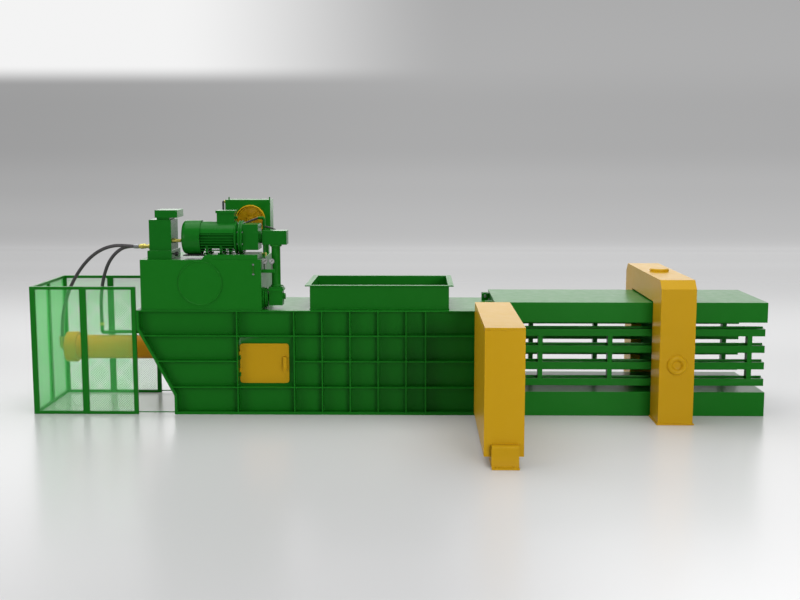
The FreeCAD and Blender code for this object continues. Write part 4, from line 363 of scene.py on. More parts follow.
# %% Lathe
DRAWING_ZERO = Vector((4300.0, -288.0, 0.0))
DIRECTIONS = {
    "X": ((1, 0, 0), (0, 1, 0), (0, 0, 1)), "-X": ((-1, 0, 0), (0, 1, 0), (0, 0, 1)),
    "Y": ((0, 1, 0), (0, 0, 1), (1, 0, 0)), "-Y": ((0, -1, 0), (0, 0, 1), (1, 0, 0)),
    "Z": ((0, 0, 1), (1, 0, 0), (0, 1, 0)), "-Z": ((0, 0, -1), (1, 0, 0), (0, 1, 0)),
}


def place_mm(x, y, z):
    """A point of the drawing in the frame's metres."""
    return (Vector((x, y, z)) - DRAWING_ZERO) / 1000


def box_mm(node):
    """A node's lowest and highest corners on the drawing, to half a millimetre."""
    return [[round((value * 1000 + zero) * 2) / 2 for value, zero in zip(corner, DRAWING_ZERO)]
            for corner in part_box(node)]


def middle(node, axes):
    """The middle of a node's box on the drawing, along axes such as YZ."""
    low, high = box_mm(node)
    return tuple((low["XYZ".index(axis)] + high["XYZ".index(axis)]) / 2 for axis in axes)


def band(work, first, second):
    """Joins two rings of points by faces. A ring of one point closes the end."""
    for step in range(max(len(first), len(second))):
        corners = (first[step % len(first)], first[(step + 1) % len(first)],
                   second[(step + 1) % len(second)], second[step % len(second)])
        work.faces.new(dict.fromkeys(corners))


def lathe(work, centre, direction, profile, steps=56):
    """Turns (distance, radius) pairs about an axis; a radius of 0 closes an end."""
    along, across, up = (Vector(axis) for axis in DIRECTIONS[direction])
    rings = []
    for distance, radius in profile:
        hub = Vector(centre) + along * distance
        count = steps if radius else 1
        turns = [math.tau * (step + 0.5) / count for step in range(count)]
        spokes = [radius * (across * math.cos(turn) + up * math.sin(turn)) for turn in turns]
        rings.append([work.verts.new(place_mm(*(hub + spoke))) for spoke in spokes])
    for first, second in zip(rings, rings[1:]):
        band(work, first, second)


def arc(centre, radius, first, last, steps=6):
    """Points of an arc in a profile, from one angle to another, in degrees."""
    turns = [math.radians(first + (last - first) * step / steps) for step in range(steps + 1)]
    return tuple((centre[0] + radius * math.cos(turn), centre[1] + radius * math.sin(turn)) for turn in turns)


def bar(length, radius, run=0, drop=0, ends=2):
    """The profile of a closed bar or nut; a run and a drop chamfer its far end, or both."""
    near = ((0, radius - drop), (run, radius)) if run and ends == 2 else ((0, radius),)
    far = ((length - run, radius), (length, radius - drop)) if run else ((length, radius),)
    return ((0, 0), *near, *far, (length, 0))


print("profile of a nut:", bar(33, 29, 3, 3))

# %% Boxes, bent plate and finished pieces
BOX_SIDES = ((0, 1, 3, 2), (4, 6, 7, 5), (0, 4, 5, 1), (2, 3, 7, 6), (0, 2, 6, 4), (1, 5, 7, 3))


def block(work, low, high):
    """A closed box between two corners of the drawing."""
    corners = [work.verts.new(place_mm(x, y, z))
               for x in (low[0], high[0]) for y in (low[1], high[1]) for z in (low[2], high[2])]
    for side in BOX_SIDES:
        work.faces.new([corners[corner] for corner in side])


def folded(work, strip, start, end, plate):
    """A bent plate: a line of (Y, Z) points with a thickness, from one X to another."""
    points = [Vector(point) for point in strip]
    inside = []
    for index, point in enumerate(points):
        before = points[max(index - 1, 0)]
        after = points[min(index + 1, len(points) - 1)]
        run = (after - before).normalized()
        inside.append(point + Vector((-run.y, run.x)) * plate)
    rims = [[work.verts.new(place_mm(x, y, z)) for y, z in points + inside[::-1]] for x in (start, end)]
    band(work, *rims)
    for rim in rims:
        for index in range(len(points) - 1):
            work.faces.new((rim[index], rim[index + 1], rim[-2 - index], rim[-1 - index]))


def piece(name, work, slot_name, *replaced, body="press", radius=0.0, finish=None):
    """Turns a mesh's faces outwards, rounds its edges, and gives it its finish and body."""
    bmesh.ops.recalc_face_normals(work, faces=work.faces)
    made = to_object(name, work)
    if radius:
        soften(made, radius)
    return show(made, body, slot_name, *replaced, finish=finish)


print("drawing zero is at", tuple(round(v, 3) for v in place_mm(0, 0, 0)))

# %% [markdown]
# ## Repeats by Geometry Nodes
# Bolts, fins, wires, guard rings and weld ripples repeat by a rule. Each rule is one small node
# tree with named inputs for its sizes, so the same tree serves several places. A helper makes a
# tree's inputs, another runs the tree and keeps the result as a plain mesh.

# %% Tree helpers
SOCKET_KINDS = {float: "NodeSocketFloat", int: "NodeSocketInt", tuple: "NodeSocketVector"}


def rule(name, **sizes):
    """An empty geometry tree with named inputs, and the outputs that carry them."""
    tree = bpy.data.node_groups.new(name, "GeometryNodeTree")
    for label, value in {**sizes, "Centre": (0.0, 0.0, 0.0), "Turn": (0.0, 0.0, 0.0)}.items():
        socket = tree.interface.new_socket(label, in_out="INPUT", socket_type=SOCKET_KINDS[type(value)])
        socket.default_value = value
    tree.interface.new_socket("Finish", in_out="INPUT", socket_type="NodeSocketMaterial")
    tree.interface.new_socket("Geometry", in_out="OUTPUT", socket_type="NodeSocketGeometry")
    return tree, add(tree, "NodeGroupInput").outputs


def close_rule(tree, given, shape, smooth=True):
    """Realizes the instances, puts them in place and paints them."""
    whole = add(tree, "GeometryNodeRealizeInstances", {"Geometry": shape})
    moved = add(tree, "GeometryNodeTransform", {
        "Geometry": whole, "Translation": given["Centre"], "Rotation": given["Turn"]})
    shaded = add(tree, "GeometryNodeSetShadeSmooth", {"Geometry": moved, "Shade Smooth": smooth})
    painted = add(tree, "GeometryNodeSetMaterial", {"Geometry": shaded, "Material": given["Finish"]})
    add(tree, "NodeGroupOutput", {"Geometry": painted})
    print("rule:", tree.name, "with", len(tree.nodes), "nodes")


def run_rule(tree, finish, **sizes):
    """Runs a tree once and gives its result as a plain mesh."""
    holder = linked(tree.name + " seed", bpy.data.meshes.new("seed"))
    modifier = holder.modifiers.new("Rule", "NODES")
    modifier.node_group = tree
    sockets = {item.name: item.identifier for item in tree.interface.items_tree if item.in_out == "INPUT"}
    modifier[sockets["Finish"]] = finish
    for label, value in sizes.items():
        modifier[sockets[label]] = tuple(value) if isinstance(value, Vector) else value
    graph = bpy.context.evaluated_depsgraph_get()
    made = bpy.data.meshes.new_from_object(holder.evaluated_get(graph))
    bpy.data.objects.remove(holder)
    return made


def kept(name, meshes, slot_name, *replaced):
    """Joins the results of a rule into one piece."""
    work = bmesh.new()
    for data in meshes:
        work.from_mesh(data)
        bpy.data.meshes.remove(data)
    return show(to_object(name, work), "press", slot_name, *replaced)


print("kinds of input:", len(SOCKET_KINDS))

# %% [markdown]
# ## Wire mesh of the guard
# The guard's panels are woven wire: 3.8 mm wires at 20 mm, laid slantwise, each over one and
# under the next, with a green coating. Its colour is made pale as painted highlight, for the
# light that the round wires catch. A grid gives the crossings. Its two directions are parted,
# and each point moves half a wire out or in, by turns, which makes the weave. The points
# outside the panel are deleted, and the ends stay hidden in the frame's bars.

# %% Grid of crossings
SLANT = math.radians(45)
DIAGONAL_SHARE = 0.7072  # a square's side over its diagonal, and a hair more
SPARE_WIRES = 3.0
woven_panel, given = rule("Woven wire panel", Width=0.5, Height=1.4, Pitch=0.02, Wire=0.004)
tree = woven_panel
reach = add(tree, MATH, (given["Width"], given["Height"]), operation="ADD")
diagonal = add(tree, MATH, (reach, DIAGONAL_SHARE), operation="MULTIPLY")
pitches = add(tree, MATH, (diagonal, given["Pitch"]), operation="DIVIDE")
count = add(tree, MATH, (add(tree, MATH, (pitches,), operation="FLOOR"), SPARE_WIRES), operation="ADD")
gaps = add(tree, MATH, (count, 1.0), operation="SUBTRACT")
side = add(tree, MATH, (gaps, given["Pitch"]), operation="MULTIPLY")
grid = add(tree, "GeometryNodeMeshGrid", {
    "Size X": side, "Size Y": side, "Vertices X": count, "Vertices Y": count})
point = add(tree, "ShaderNodeSeparateXYZ", (add(tree, "GeometryNodeInputPosition"),)).outputs
half_side = add(tree, MATH, (side, 0.5), operation="MULTIPLY")
steps_along = []
for axis in "XY":
    from_edge = add(tree, MATH, (point[axis], half_side), operation="ADD")
    in_pitches = add(tree, MATH, (from_edge, given["Pitch"]), operation="DIVIDE")
    steps_along.append(add(tree, MATH, (in_pitches,), operation="ROUND"))
odd = add(tree, MATH, (add(tree, MATH, steps_along, operation="ADD"), 2.0), operation="MODULO")
sign_of_step = add(tree, MATH, (odd, 0.5), operation="SUBTRACT")
rise = add(tree, MATH, (sign_of_step, given["Wire"]), operation="MULTIPLY")
print("grid and weave:", len(tree.nodes), "nodes")

# %% Weave and trim
ends = add(tree, "GeometryNodeInputMeshEdgeVertices").outputs
span = add(tree, "ShaderNodeVectorMath", (ends["Position 1"], ends["Position 2"]), operation="SUBTRACT")
span_axes = add(tree, "ShaderNodeSeparateXYZ", (span,)).outputs
families = add(tree, "GeometryNodeJoinGeometry")
outside_by = []
for axis, sign, size in (("X", 1.0, "Width"), ("Y", -1.0, "Height")):
    length = add(tree, MATH, (span_axes[axis],), operation="ABSOLUTE")
    crossing = add(tree, MATH, (length, 0.001), operation="GREATER_THAN")
    lines = add(tree, "GeometryNodeDeleteGeometry", {"Geometry": grid, "Selection": crossing},
                domain="EDGE", mode="EDGE_FACE")
    shift = add(tree, COMBINE, {"Z": add(tree, MATH, (rise, sign), operation="MULTIPLY")})
    feed(tree, families, (add(tree, "GeometryNodeSetPosition", {"Geometry": lines, "Offset": shift}),))
    half = add(tree, MATH, (given[size], 0.5), operation="MULTIPLY")
    distance = add(tree, MATH, (point[axis],), operation="ABSOLUTE")
    outside_by.append(add(tree, MATH, (distance, half), operation="GREATER_THAN"))
outside = add(tree, MATH, outside_by, operation="MAXIMUM")
slanted = add(tree, "GeometryNodeTransform", {"Geometry": families, "Rotation": (0.0, 0.0, SLANT)})
trimmed = add(tree, "GeometryNodeDeleteGeometry", {"Geometry": slanted, "Selection": outside}, domain="POINT")
runs = add(tree, "GeometryNodeMeshToCurve", {"Mesh": trimmed})
half_wire = add(tree, MATH, (given["Wire"], 0.5), operation="MULTIPLY")
section = add(tree, "GeometryNodeCurvePrimitiveCircle", {"Resolution": 4, "Radius": half_wire})
wires = add(tree, "GeometryNodeCurveToMesh", {"Curve": runs, "Profile Curve": section, "Fill Caps": True})
close_rule(tree, given, wires)

# %% Guard panels
LIP = 26.0  # what the bars hide of a panel, both sides together
OPENING_HEIGHT = 1449
OPENING_MIDDLE = 758.5
UPRIGHT = math.radians(90)
PANELS = {
    "near": (((60, 20), (583, 20)), ((657, 20), (1190, 20))),
    "far": (((60, 1220), (583, 1220)), ((657, 1220), (1190, 1220))),
    "rear": (((20, 40), (20, 590)), ((20, 650), (20, 1200))),
}
for side_name, openings in PANELS.items():
    meshes = []
    for (x0, y0), (x1, y1) in openings:
        meshes.append(run_rule(
            woven_panel, finishes["mesh_paint"], Width=(max(x1 - x0, y1 - y0) + LIP) / 1000,
            Height=(OPENING_HEIGHT + LIP) / 1000, Pitch=0.020, Wire=0.0038,
            Centre=place_mm((x0 + x1) / 2, (y0 + y1) / 2, OPENING_MIDDLE),
            Turn=(UPRIGHT, 0.0, UPRIGHT if side_name == "rear" else 0.0)))
    panel = kept("wire_mesh_" + side_name, meshes, "mesh_paint", "cage_mesh")
    print("faces:", len(panel.data.polygons))

# %% [markdown]
# ## Bolts
# A hexagon head stands on a washer. The rule puts such bolts on a circle, each head turned by
# chance as a spanner leaves it, with a fixed seed. A count of four on the right radius also
# serves a square flange.

# %% Ring of bolts
SIXTH_TURN = 1.05  # radians, after which a hexagon looks the same
bolt_ring, given = rule("Ring of bolts", Count=8, Radius=0.15, Head=0.012, Height=0.01, Start=0.0)
tree = bolt_ring
circle = add(tree, "GeometryNodeMeshCircle", {"Vertices": given["Count"], "Radius": given["Radius"]})
started = add(tree, "GeometryNodeTransform", {
    "Geometry": circle, "Rotation": add(tree, COMBINE, {"Z": given["Start"]})})
head = add(tree, "GeometryNodeMeshCylinder", {
    "Vertices": 6, "Radius": given["Head"], "Depth": given["Height"]})
half_height = add(tree, MATH, (given["Height"], 0.5), operation="MULTIPLY")
washer_radius = add(tree, MATH, (given["Head"], 1.25), operation="MULTIPLY")
washer = add(tree, "GeometryNodeMeshCylinder", {
    "Vertices": 14, "Radius": washer_radius, "Depth": half_height})
lifted = add(tree, "GeometryNodeTransform", {
    "Geometry": head, "Translation": add(tree, COMBINE, {"Z": half_height})})
bolt = add(tree, "GeometryNodeJoinGeometry")
for part in (washer, lifted):
    feed(tree, bolt, (part,))
chance = add(tree, "FunctionNodeRandomValue", {3: SIXTH_TURN, "Seed": 7}, data_type="FLOAT")
turned_by = add(tree, COMBINE, {"Z": chance.outputs[1]})
placed = add(tree, "GeometryNodeInstanceOnPoints", {
    "Points": started, "Instance": bolt, "Rotation": turned_by})
close_rule(tree, given, placed, smooth=False)

# %% Bolts of the machine
FACING = {"-X": (0.0, -UPRIGHT, 0.0), "X": (0.0, UPRIGHT, 0.0), "-Y": (UPRIGHT, 0.0, 0.0),
          "Z": (0.0, 0.0, 0.0)}
HEAD_HEIGHT = 0.8  # of the head's radius
MOTOR = middle("motor_fan_cowl", "YZ")  # the motor's axis
FLANGE_START, FLANGE_END = 2439, 2490  # of the motor, along X
CYLINDER = middle("main_cylinder_cap", "YZ")  # the main cylinder's axis
CAP_START = box_mm("main_cylinder_cap")[0][0]
SUCTION = (2868, 215)  # the suction pipe's axis, as X and Y
BLOCK_TOP = 1505  # of the suction pipe's cast block


def bolts(centre, facing, count, radius, head, start=0.0):
    """A ring of bolts at a drawing point; radius and head in mm."""
    return run_rule(bolt_ring, finishes["bare_steel"], Count=count, Radius=radius / 1000, Head=head / 1000,
                    Height=head * HEAD_HEIGHT / 1000, Start=math.radians(start), Centre=place_mm(*centre),
                    Turn=FACING[facing])


bright = [
    bolts((FLANGE_END, *MOTOR), "X", 8, 180, 9, 22.5),
    bolts((FLANGE_START, *MOTOR), "-X", 8, 180, 9, 22.5),
    bolts((CAP_START, *CYLINDER), "-X", 8, 148, 17),
    bolts((2425, *CYLINDER), "X", 8, 118, 11, 22.5),  # gland
    bolts((1700, *CYLINDER), "-X", 12, 198, 15, 15),  # mounting flange
    bolts((*SUCTION, BLOCK_TOP), "Z", 4, 88, 9, 45),
]
kept("machine_bolts", bright, "bare_steel")
print("rings of bolts:", len(bright))

# %% [markdown]
# ## Electric motor
# The motor is a cast drum with a smooth crown and level fins below it, a domed end bell, and a
# round flange bolted to the square bell of the pump. A pressed cowl covers the fan: its edge is
# drawn to a soft radius, and rings on a cross close its end. The drum, the bell and the cowl
# are turned, and a rule makes the fins: a column of plates, each as wide as the circle of the
# fins is at its height.

# %% Level fins
tree, given = rule("Level fins", Count=7, Lowest=-0.149, Pitch=0.032, Reach=0.19, Length=0.392, Plate=0.010)
column = add(tree, "GeometryNodeMeshLine", {
    "Count": given["Count"], "Start Location": add(tree, COMBINE, {"Z": given["Lowest"]}),
    "Offset": add(tree, COMBINE, {"Z": given["Pitch"]})})
height = add(tree, "ShaderNodeSeparateXYZ", (add(tree, "GeometryNodeInputPosition"),)).outputs["Z"]
squares = [add(tree, MATH, (value, 2.0), operation="POWER") for value in (given["Reach"], height)]
half_width = add(tree, MATH, (add(tree, MATH, squares, operation="SUBTRACT"),), operation="SQRT")
width = add(tree, MATH, (half_width, 2.0), operation="MULTIPLY")
fin_size = add(tree, COMBINE, (given["Length"], width, given["Plate"]))
fin = add(tree, "GeometryNodeMeshCube", {"Size": (1.0, 1.0, 1.0)})
fins = add(tree, "GeometryNodeInstanceOnPoints", {"Points": column, "Instance": fin, "Scale": fin_size})
close_rule(tree, given, fins, smooth=False)
DRUM_START, DRUM_LENGTH = box_mm("motor_housing")[0][0], 396
fin_block = run_rule(tree, finishes["motor_green"], Centre=place_mm(DRUM_START + DRUM_LENGTH / 2, *MOTOR))
kept("motor_fins", [fin_block], "motor_green")

# %% Motor body
FOOT_BOTTOM = 1890
CROWN_HEIGHT = 56  # where the smooth crown begins, above the axis
END_BELL = ((0, 0), (0, 186), (4, 190), (14, 190), (18, 186), (24, 168), (45, 150), (45, 0))
FLANGES = ((0, 0), (0, 192), (3, 196), (17, 196), (20, 192), (20, 186), (31, 186), (31, 192), (34, 196),
           (48, 196), (51, 192), (51, 0))
work = bmesh.new()
lathe(work, (DRUM_START, *MOTOR), "X", bar(DRUM_LENGTH, 188), 72)
bmesh.ops.bisect_plane(work, geom=work.verts[:] + work.edges[:] + work.faces[:], clear_inner=True,
                       plane_co=place_mm(0, 0, MOTOR[1] + CROWN_HEIGHT), plane_no=(0, 0, 1))
bmesh.ops.contextual_create(work, geom=[edge for edge in work.edges if edge.is_boundary])
lathe(work, (DRUM_START, *MOTOR), "X", bar(DRUM_LENGTH, 136), 48)
lathe(work, (DRUM_START + DRUM_LENGTH, *MOTOR), "X", END_BELL, 72)
lathe(work, (FLANGE_START, *MOTOR), "X", FLANGES, 72)
for along in (2058, 2223):
    for across in (110, 320):
        block(work, (along, across, FOOT_BOTTOM), (along + 26, across + 70, FOOT_BOTTOM + 110))
        block(work, (along - 22, across, FOOT_BOTTOM), (along + 48, across + 70, FOOT_BOTTOM + 14))
piece("motor_body", work, "motor_green", "motor_housing", radius=0.002)

# %% Fan cowl
COWL = ((16, 150), (6, 152), (3, 160), (5, 172), (14, 186), (30, 195), (52, 200), (222, 200),
        (222, 195), (56, 195), (34, 189), (20, 180), (16, 168), (16, 150))
COWL_BOSS = ((0, 0), (0, 30), (8, 34), (10, 34), (10, 0))
COWL_START = box_mm("motor_fan_cowl")[0][0]
RING_THICK, RING_HALF, CROSS_REACH = 6, 3, 155
work = bmesh.new()
lathe(work, (COWL_START, *MOTOR), "X", COWL, 72)
for ring in (52, 74, 96, 118, 140):
    inner, outer = ring - RING_HALF, ring + RING_HALF
    square = ((0, inner), (0, outer), (RING_THICK, outer), (RING_THICK, inner), (0, inner))
    lathe(work, (COWL_START + 4, *MOTOR), "X", square, 40)
lathe(work, (COWL_START + 2, *MOTOR), "X", COWL_BOSS, 32)
for across, up in ((CROSS_REACH, RING_HALF), (RING_HALF, CROSS_REACH)):
    block(work, (COWL_START + 6, MOTOR[0] - across, MOTOR[1] - up),
          (COWL_START + 6 + RING_THICK, MOTOR[0] + across, MOTOR[1] + up))
piece("motor_cowl", work, "motor_green", "motor_fan_cowl")

# %% Terminal box and shadow rail
CABLE_GLAND = ((0, 0), (0, 22), (8, 22), (8, 17), (26, 17), (28, 14), (28, 0))
LID_THICK, LID_LIP_X, LID_LIP_Y = 31, 13, 8
(x0, y0, z0), (x1, y1, z1) = box_mm("motor_terminal_box")
work = bmesh.new()
block(work, (x0 + LID_LIP_X, y0 + LID_LIP_Y, z0), (x1 - LID_LIP_X, y1 - LID_LIP_Y, z1 - LID_THICK + 2))
block(work, (x0, y0, z1 - LID_THICK), (x1, y1, z1))
lathe(work, (x1 - LID_LIP_X, MOTOR[0], 2310), "X", CABLE_GLAND, 6)
piece("terminal_box", work, "motor_green", "motor_terminal_box", radius=0.005)
# A bar in dark rubber colour under the fan cowl: painted shadow under the motor.
work = bmesh.new()
block(work, (1786, 130, 1866), (2058, 370, 1880))
piece("damping_strip", work, "hose_rubber", radius=0.002)

# %% [markdown]
# ## Main cylinder and tension cylinders
# The rear cap is a forged disc with a rounded edge. Each tension cylinder ends in a round cap
# with a fat rounded rim and a smooth shallow dish in its middle. These profiles are
# arcs, sampled at a few points by one helper. The cap on the collar's top is flat.

# %% Rounded rims
CAP_LENGTH, CAP_FLAT, CAP_EDGE = 140, 171, 14
CAP = ((0, 0), *arc((CAP_EDGE, CAP_FLAT), CAP_EDGE, 180, 90),
       *arc((CAP_LENGTH - CAP_EDGE, CAP_FLAT), CAP_EDGE, 90, 0), (CAP_LENGTH, 0))
TENSION_X = middle("tension_cylinders", "X")[0]
TENSION_Z = box_mm("tension_cylinders")[0][2] + 115
BORE = ((0, 115), (0, 95), (426, 95), (426, 56), (24, 56), (24, 0))
TOP_BORE = ((0, 115), (0, 95), (287, 95), (287, 56), (24, 56), (24, 0))
SIDE_CAP = ((-2, 0), (-2, 36), (-5, 45), *arc((-2, 82), 32, 250, 90, 12), *BORE)
TOP_CAP = ((-34, 0), (-34, 96), *arc((-17, 98), 17, 180, 90), *TOP_BORE)
work = bmesh.new()
lathe(work, (CAP_START, *CYLINDER), "X", CAP, 72)
piece("cylinder_cap", work, slot_of_node["main_cylinder_cap"], "main_cylinder_cap")
work = bmesh.new()
lathe(work, (TENSION_X, -440, TENSION_Z), "Y", SIDE_CAP, 72)
lathe(work, (TENSION_X, 1680, TENSION_Z), "-Y", SIDE_CAP, 72)
lathe(work, (TENSION_X, CYLINDER[0], 1647), "-Z", TOP_CAP, 72)
piece("tension_caps", work, slot_of_node["tension_cylinders"], "tension_cylinders")

# %% [markdown]
# ## Wire-tying unit
# The unit is a folded sheet box under a lid. In front it stands on a bent foot: the sheet
# comes out level from the housing, turns down in a soft bend, hangs a little hollow and runs
# out in a flat toe with two bolts. The construction's foot is a plain block, so its copy is
# sawn off in front of the housing, and the bent plate takes its place.

# %% Tying unit
SAW_LINE = -2161
SHEET = 16
FOOT_START, FOOT_END = 5260, 5533
TOE_TIP, SHIN, HOUSING_FRONT = -2290.0, -2214.0, -2158.0
TOE_BEND, KNEE_BEND = 30.0, 12.0
HANG, HANG_STEPS, HOLLOW = 171.0, 8, 14.0
TOE_BOLT = ((0, 0), (0, 17), (4, 17), (4, 13), (15, 13), (15, 0))
work = joined("tie_housing")
sawn = bmesh.ops.bisect_plane(work, geom=work.verts[:] + work.edges[:] + work.faces[:], clear_outer=True,
                              plane_co=place_mm(0, SAW_LINE, 0), plane_no=(0, -1, 0))["geom_cut"]
bmesh.ops.contextual_create(work, geom=[part for part in sawn if isinstance(part, bmesh.types.BMEdge)])
rounded("tie_housing", 0.008, work)
work = bmesh.new()
shares = [step / HANG_STEPS for step in range(1, HANG_STEPS)]
toe = [(TOE_TIP, 0.0), *arc((SHIN - TOE_BEND, TOE_BEND), TOE_BEND, -90, 0)]
toe += [(SHIN + HOLLOW * math.sin(math.pi * share), TOE_BEND + HANG * share) for share in shares]
toe += [*arc((SHIN + KNEE_BEND, TOE_BEND + HANG), KNEE_BEND, 180, 90),
        (HOUSING_FRONT, TOE_BEND + HANG + KNEE_BEND)]
folded(work, toe, FOOT_START, FOOT_END, SHEET)
for along in (FOOT_START + 50, FOOT_END - 50):
    lathe(work, (along, TOE_TIP + 24, SHEET - 1), "Z", TOE_BOLT, 6)
piece("tying_foot", work, slot_of_node["tie_housing"], radius=0.002)
print("foot plate points:", len(toe))

# %% [markdown]
# ## Tank cover, level gauge and pressure gauges
# The cleanout cover is a pressed disc with a rounded rim. The level gauge is a clear tube with
# oil in it, in front of a green bar and between two bright bolts. Each pressure gauge is a
# steel can with a white dial, and a rule sets the tick marks of the scale.

# %% Tank fittings
TANK_LOW, TANK_HIGH = box_mm("oil_tank")
COVER_X, COVER_Z = middle("tank_cleanout_cover", "XZ")
LEVEL_X = middle("tank_level_gauge", "X")[0]
TUBE_Y = TANK_LOW[1] - 9
COVER = ((0, 0), (0, 260), (5, 260), *arc((8, 254), 6, 90, -60), (8, 246), (8, 240), (8, 0))
LEVEL_BOLT = ((0, 0), (0, 13), (3, 13), (4, 10), (14, 10), (14, 0))
work = bmesh.new()
lathe(work, (COVER_X, TANK_LOW[1], COVER_Z), "-Y", COVER, 96)
piece("cleanout_cover", work, slot_of_node["tank_cleanout_cover"], "tank_cleanout_cover")
work = bmesh.new()
for height in (1665, 1777):
    lathe(work, (LEVEL_X, TANK_LOW[1], height), "-Y", LEVEL_BOLT, 6)
piece("level_bolts", work, "bare_steel", "tank_level_gauge")
work = bmesh.new()
block(work, (LEVEL_X - 5, TUBE_Y, 1676), (LEVEL_X + 5, TANK_LOW[1], 1766))
piece("level_frame", work, "green_paint", radius=0.001)
work = bmesh.new()
lathe(work, (LEVEL_X, TUBE_Y, 1680), "Z", bar(82, 2.5), 12)
level_oil = dull_solid("Oil in a clear tube", "#3C6A32", "#5A5B34", 0.30, 40.0, 0.0001)
piece("level_tube", work, "gauge_face", finish=level_oil)

# %% Scale marks
SCALE_START, SCALE_SWEEP = math.radians(-45), math.radians(270)
MARK_SIZE = (0.005, 0.0012, 0.0006)
tree, given = rule("Scale marks", Count=11, Radius=0.024)
marks = add(tree, "GeometryNodeMeshLine", {"Count": given["Count"], "Offset": (0.0, 0.0, 0.0)})
last = add(tree, MATH, (given["Count"], 1.0), operation="SUBTRACT")
share = add(tree, MATH, (add(tree, "GeometryNodeInputIndex"), last), operation="DIVIDE")
swept = add(tree, MATH, (share, SCALE_SWEEP), operation="MULTIPLY")
angle = add(tree, MATH, (swept, SCALE_START), operation="ADD")
turns = [add(tree, MATH, (angle,), operation=kind) for kind in ("COSINE", "SINE")]
spot = add(tree, COMBINE, [add(tree, MATH, (turn, given["Radius"]), operation="MULTIPLY") for turn in turns])
laid = add(tree, "GeometryNodeSetPosition", {"Geometry": marks, "Position": spot})
mark = add(tree, "GeometryNodeMeshCube", {"Size": MARK_SIZE})
aimed = add(tree, COMBINE, {"Z": angle})
scale_marks = add(tree, "GeometryNodeInstanceOnPoints", {"Points": laid, "Instance": mark, "Rotation": aimed})
close_rule(tree, given, scale_marks, smooth=False)

# %% Pressure gauges
CAN_BACK = box_mm("pressure_gauges")[1][1]
DIAL_HEIGHT = middle("pressure_gauges", "Z")[0]
CAN = ((0, 0), (0, 28), (3, 31), (20, 31), (22, 33), (24, 33), (24, 29.5), (16, 29.5), (16, 0))
STEM = ((0, 0), (0, 11), (16, 11), (16, 7), (56, 7), (56, 11), (66, 11), (66, 0))
cans, dials, ticks = bmesh.new(), bmesh.new(), []
for along in (2750, 2830):
    dial = (along, CAN_BACK - 17, DIAL_HEIGHT)
    lathe(cans, (along, CAN_BACK, DIAL_HEIGHT), "-Y", CAN, 40)
    lathe(dials, (along, CAN_BACK - 16, DIAL_HEIGHT), "-Y", bar(0.8, 29.4), 40)
    lathe(cans, dial, "-Y", bar(7, 3, 2, 1.5, ends=1), 10)
    ticks.append(run_rule(tree, finishes["black_plastic"], Centre=place_mm(*dial), Turn=FACING["-Y"]))
    lathe(cans, (along, CAN_BACK - 12, 1714), "Z", STEM, 6)
piece("gauge_cans", cans, "bare_steel", "pressure_gauges")
piece("gauge_dials", dials, "gauge_face")
kept("gauge_ticks", ticks, "black_plastic")

# %% [markdown]
# ## Pump, suction pipe and valve
# Thick pipe goes from the pump down to a cast block on the roof. Round flanges join its ends.
# A butterfly valve on the tank's side feeds the block: two round flanges with a thin gap.

# %% Suction line
TANK_END = TANK_HIGH[0]
VALVE = (SUCTION[1], 1367)
PIPE = ((0, 0), (0, 66), (14, 66), (18, 56), (24, 52), (460, 52), (468, 56), (474, 70), (493, 70), (493, 0))
PLUG = ((0, 0), (0, 40), (10, 40), (14, 36), (26, 36), (28, 34), (28, 0))
VALVE_NECK = ((0, 0), (0, 104), (60, 104), (62, 44), (72, 44), (72, 0))
work = bmesh.new()
lathe(work, (*SUCTION, BLOCK_TOP), "Z", PIPE, 48)
lathe(work, (SUCTION[0] + 80, SUCTION[1], 1385), "X", PLUG, 6)
for start, thick in ((TANK_END, 20), (TANK_END + 26, 18)):
    lathe(work, (start, *VALVE), "X", bar(thick, 125, 3, 4), 48)
lathe(work, (TANK_END, *VALVE), "X", VALVE_NECK, 40)
for half, low, high in ((80, 1285, BLOCK_TOP), (92, 1455, 1485)):
    block(work, (SUCTION[0] - half, SUCTION[1] - half, low), (SUCTION[0] + half, SUCTION[1] + half, high))
piece("suction_pipe", work, slot_of_node["suction_line"], "suction_line", radius=0.003)
work = bmesh.new()
block(work, (TANK_END, 90, 1674), (2866, 130, 1715))
lathe(work, (2736, 170, 1684), "Z", bar(314, 9), 20)
block(work, (2721, 110, 1674), (2751, 182, 1704))
piece("gauge_bar", work, slot_of_node["gauge_manifold"], "gauge_manifold", radius=0.003)

# %% [markdown]
# ## Hose fittings and pipes
# A crimped steel sleeve holds the end of each main hose, and a zinc-plated swivel nut screws
# it on the manifold. The pipes are bent steel tube, and the two cooler hoses are rubber. A
# NURBS line bends as such tube does, so each follows a few control points.

# %% Fittings
MANIFOLD_SIDE = 1396
CRIMPS = 6
grooves = []
for start in range(1, 1 + CRIMPS * 9, 9):
    grooves += [(start, 25.5), (start + 6, 25.5), (start + 7, 24.2), (start + 8.5, 24.2)]
work, crimps = bmesh.new(), bmesh.new()
for across, height in ((220, 1972), (340, 1965)):
    for start, profile, sides in ((0, bar(33, 29, 3, 3), 6), (33, bar(62, 20), 28),
                                  (90, bar(39, 29, 3, 3), 6), (129, bar(16, 21), 28)):
        lathe(work, (MANIFOLD_SIDE - start, across, height), "-X", profile, sides)
    lathe(crimps, (1252, across, height), "-X", ((0, 0), *grooves, (59, 25), (62, 22), (62, 0)), 28)
lathe(work, (1656, 160, 2046), "X", bar(44, 26, 3, 2), 6)
lathe(work, (1700, 160, 2046), "X", bar(64, 20, 4, 4, ends=1), 28)
piece("zinc_fittings", work, "zinc_steel", "hose_fittings")
piece("hose_crimps", crimps, "bare_steel")

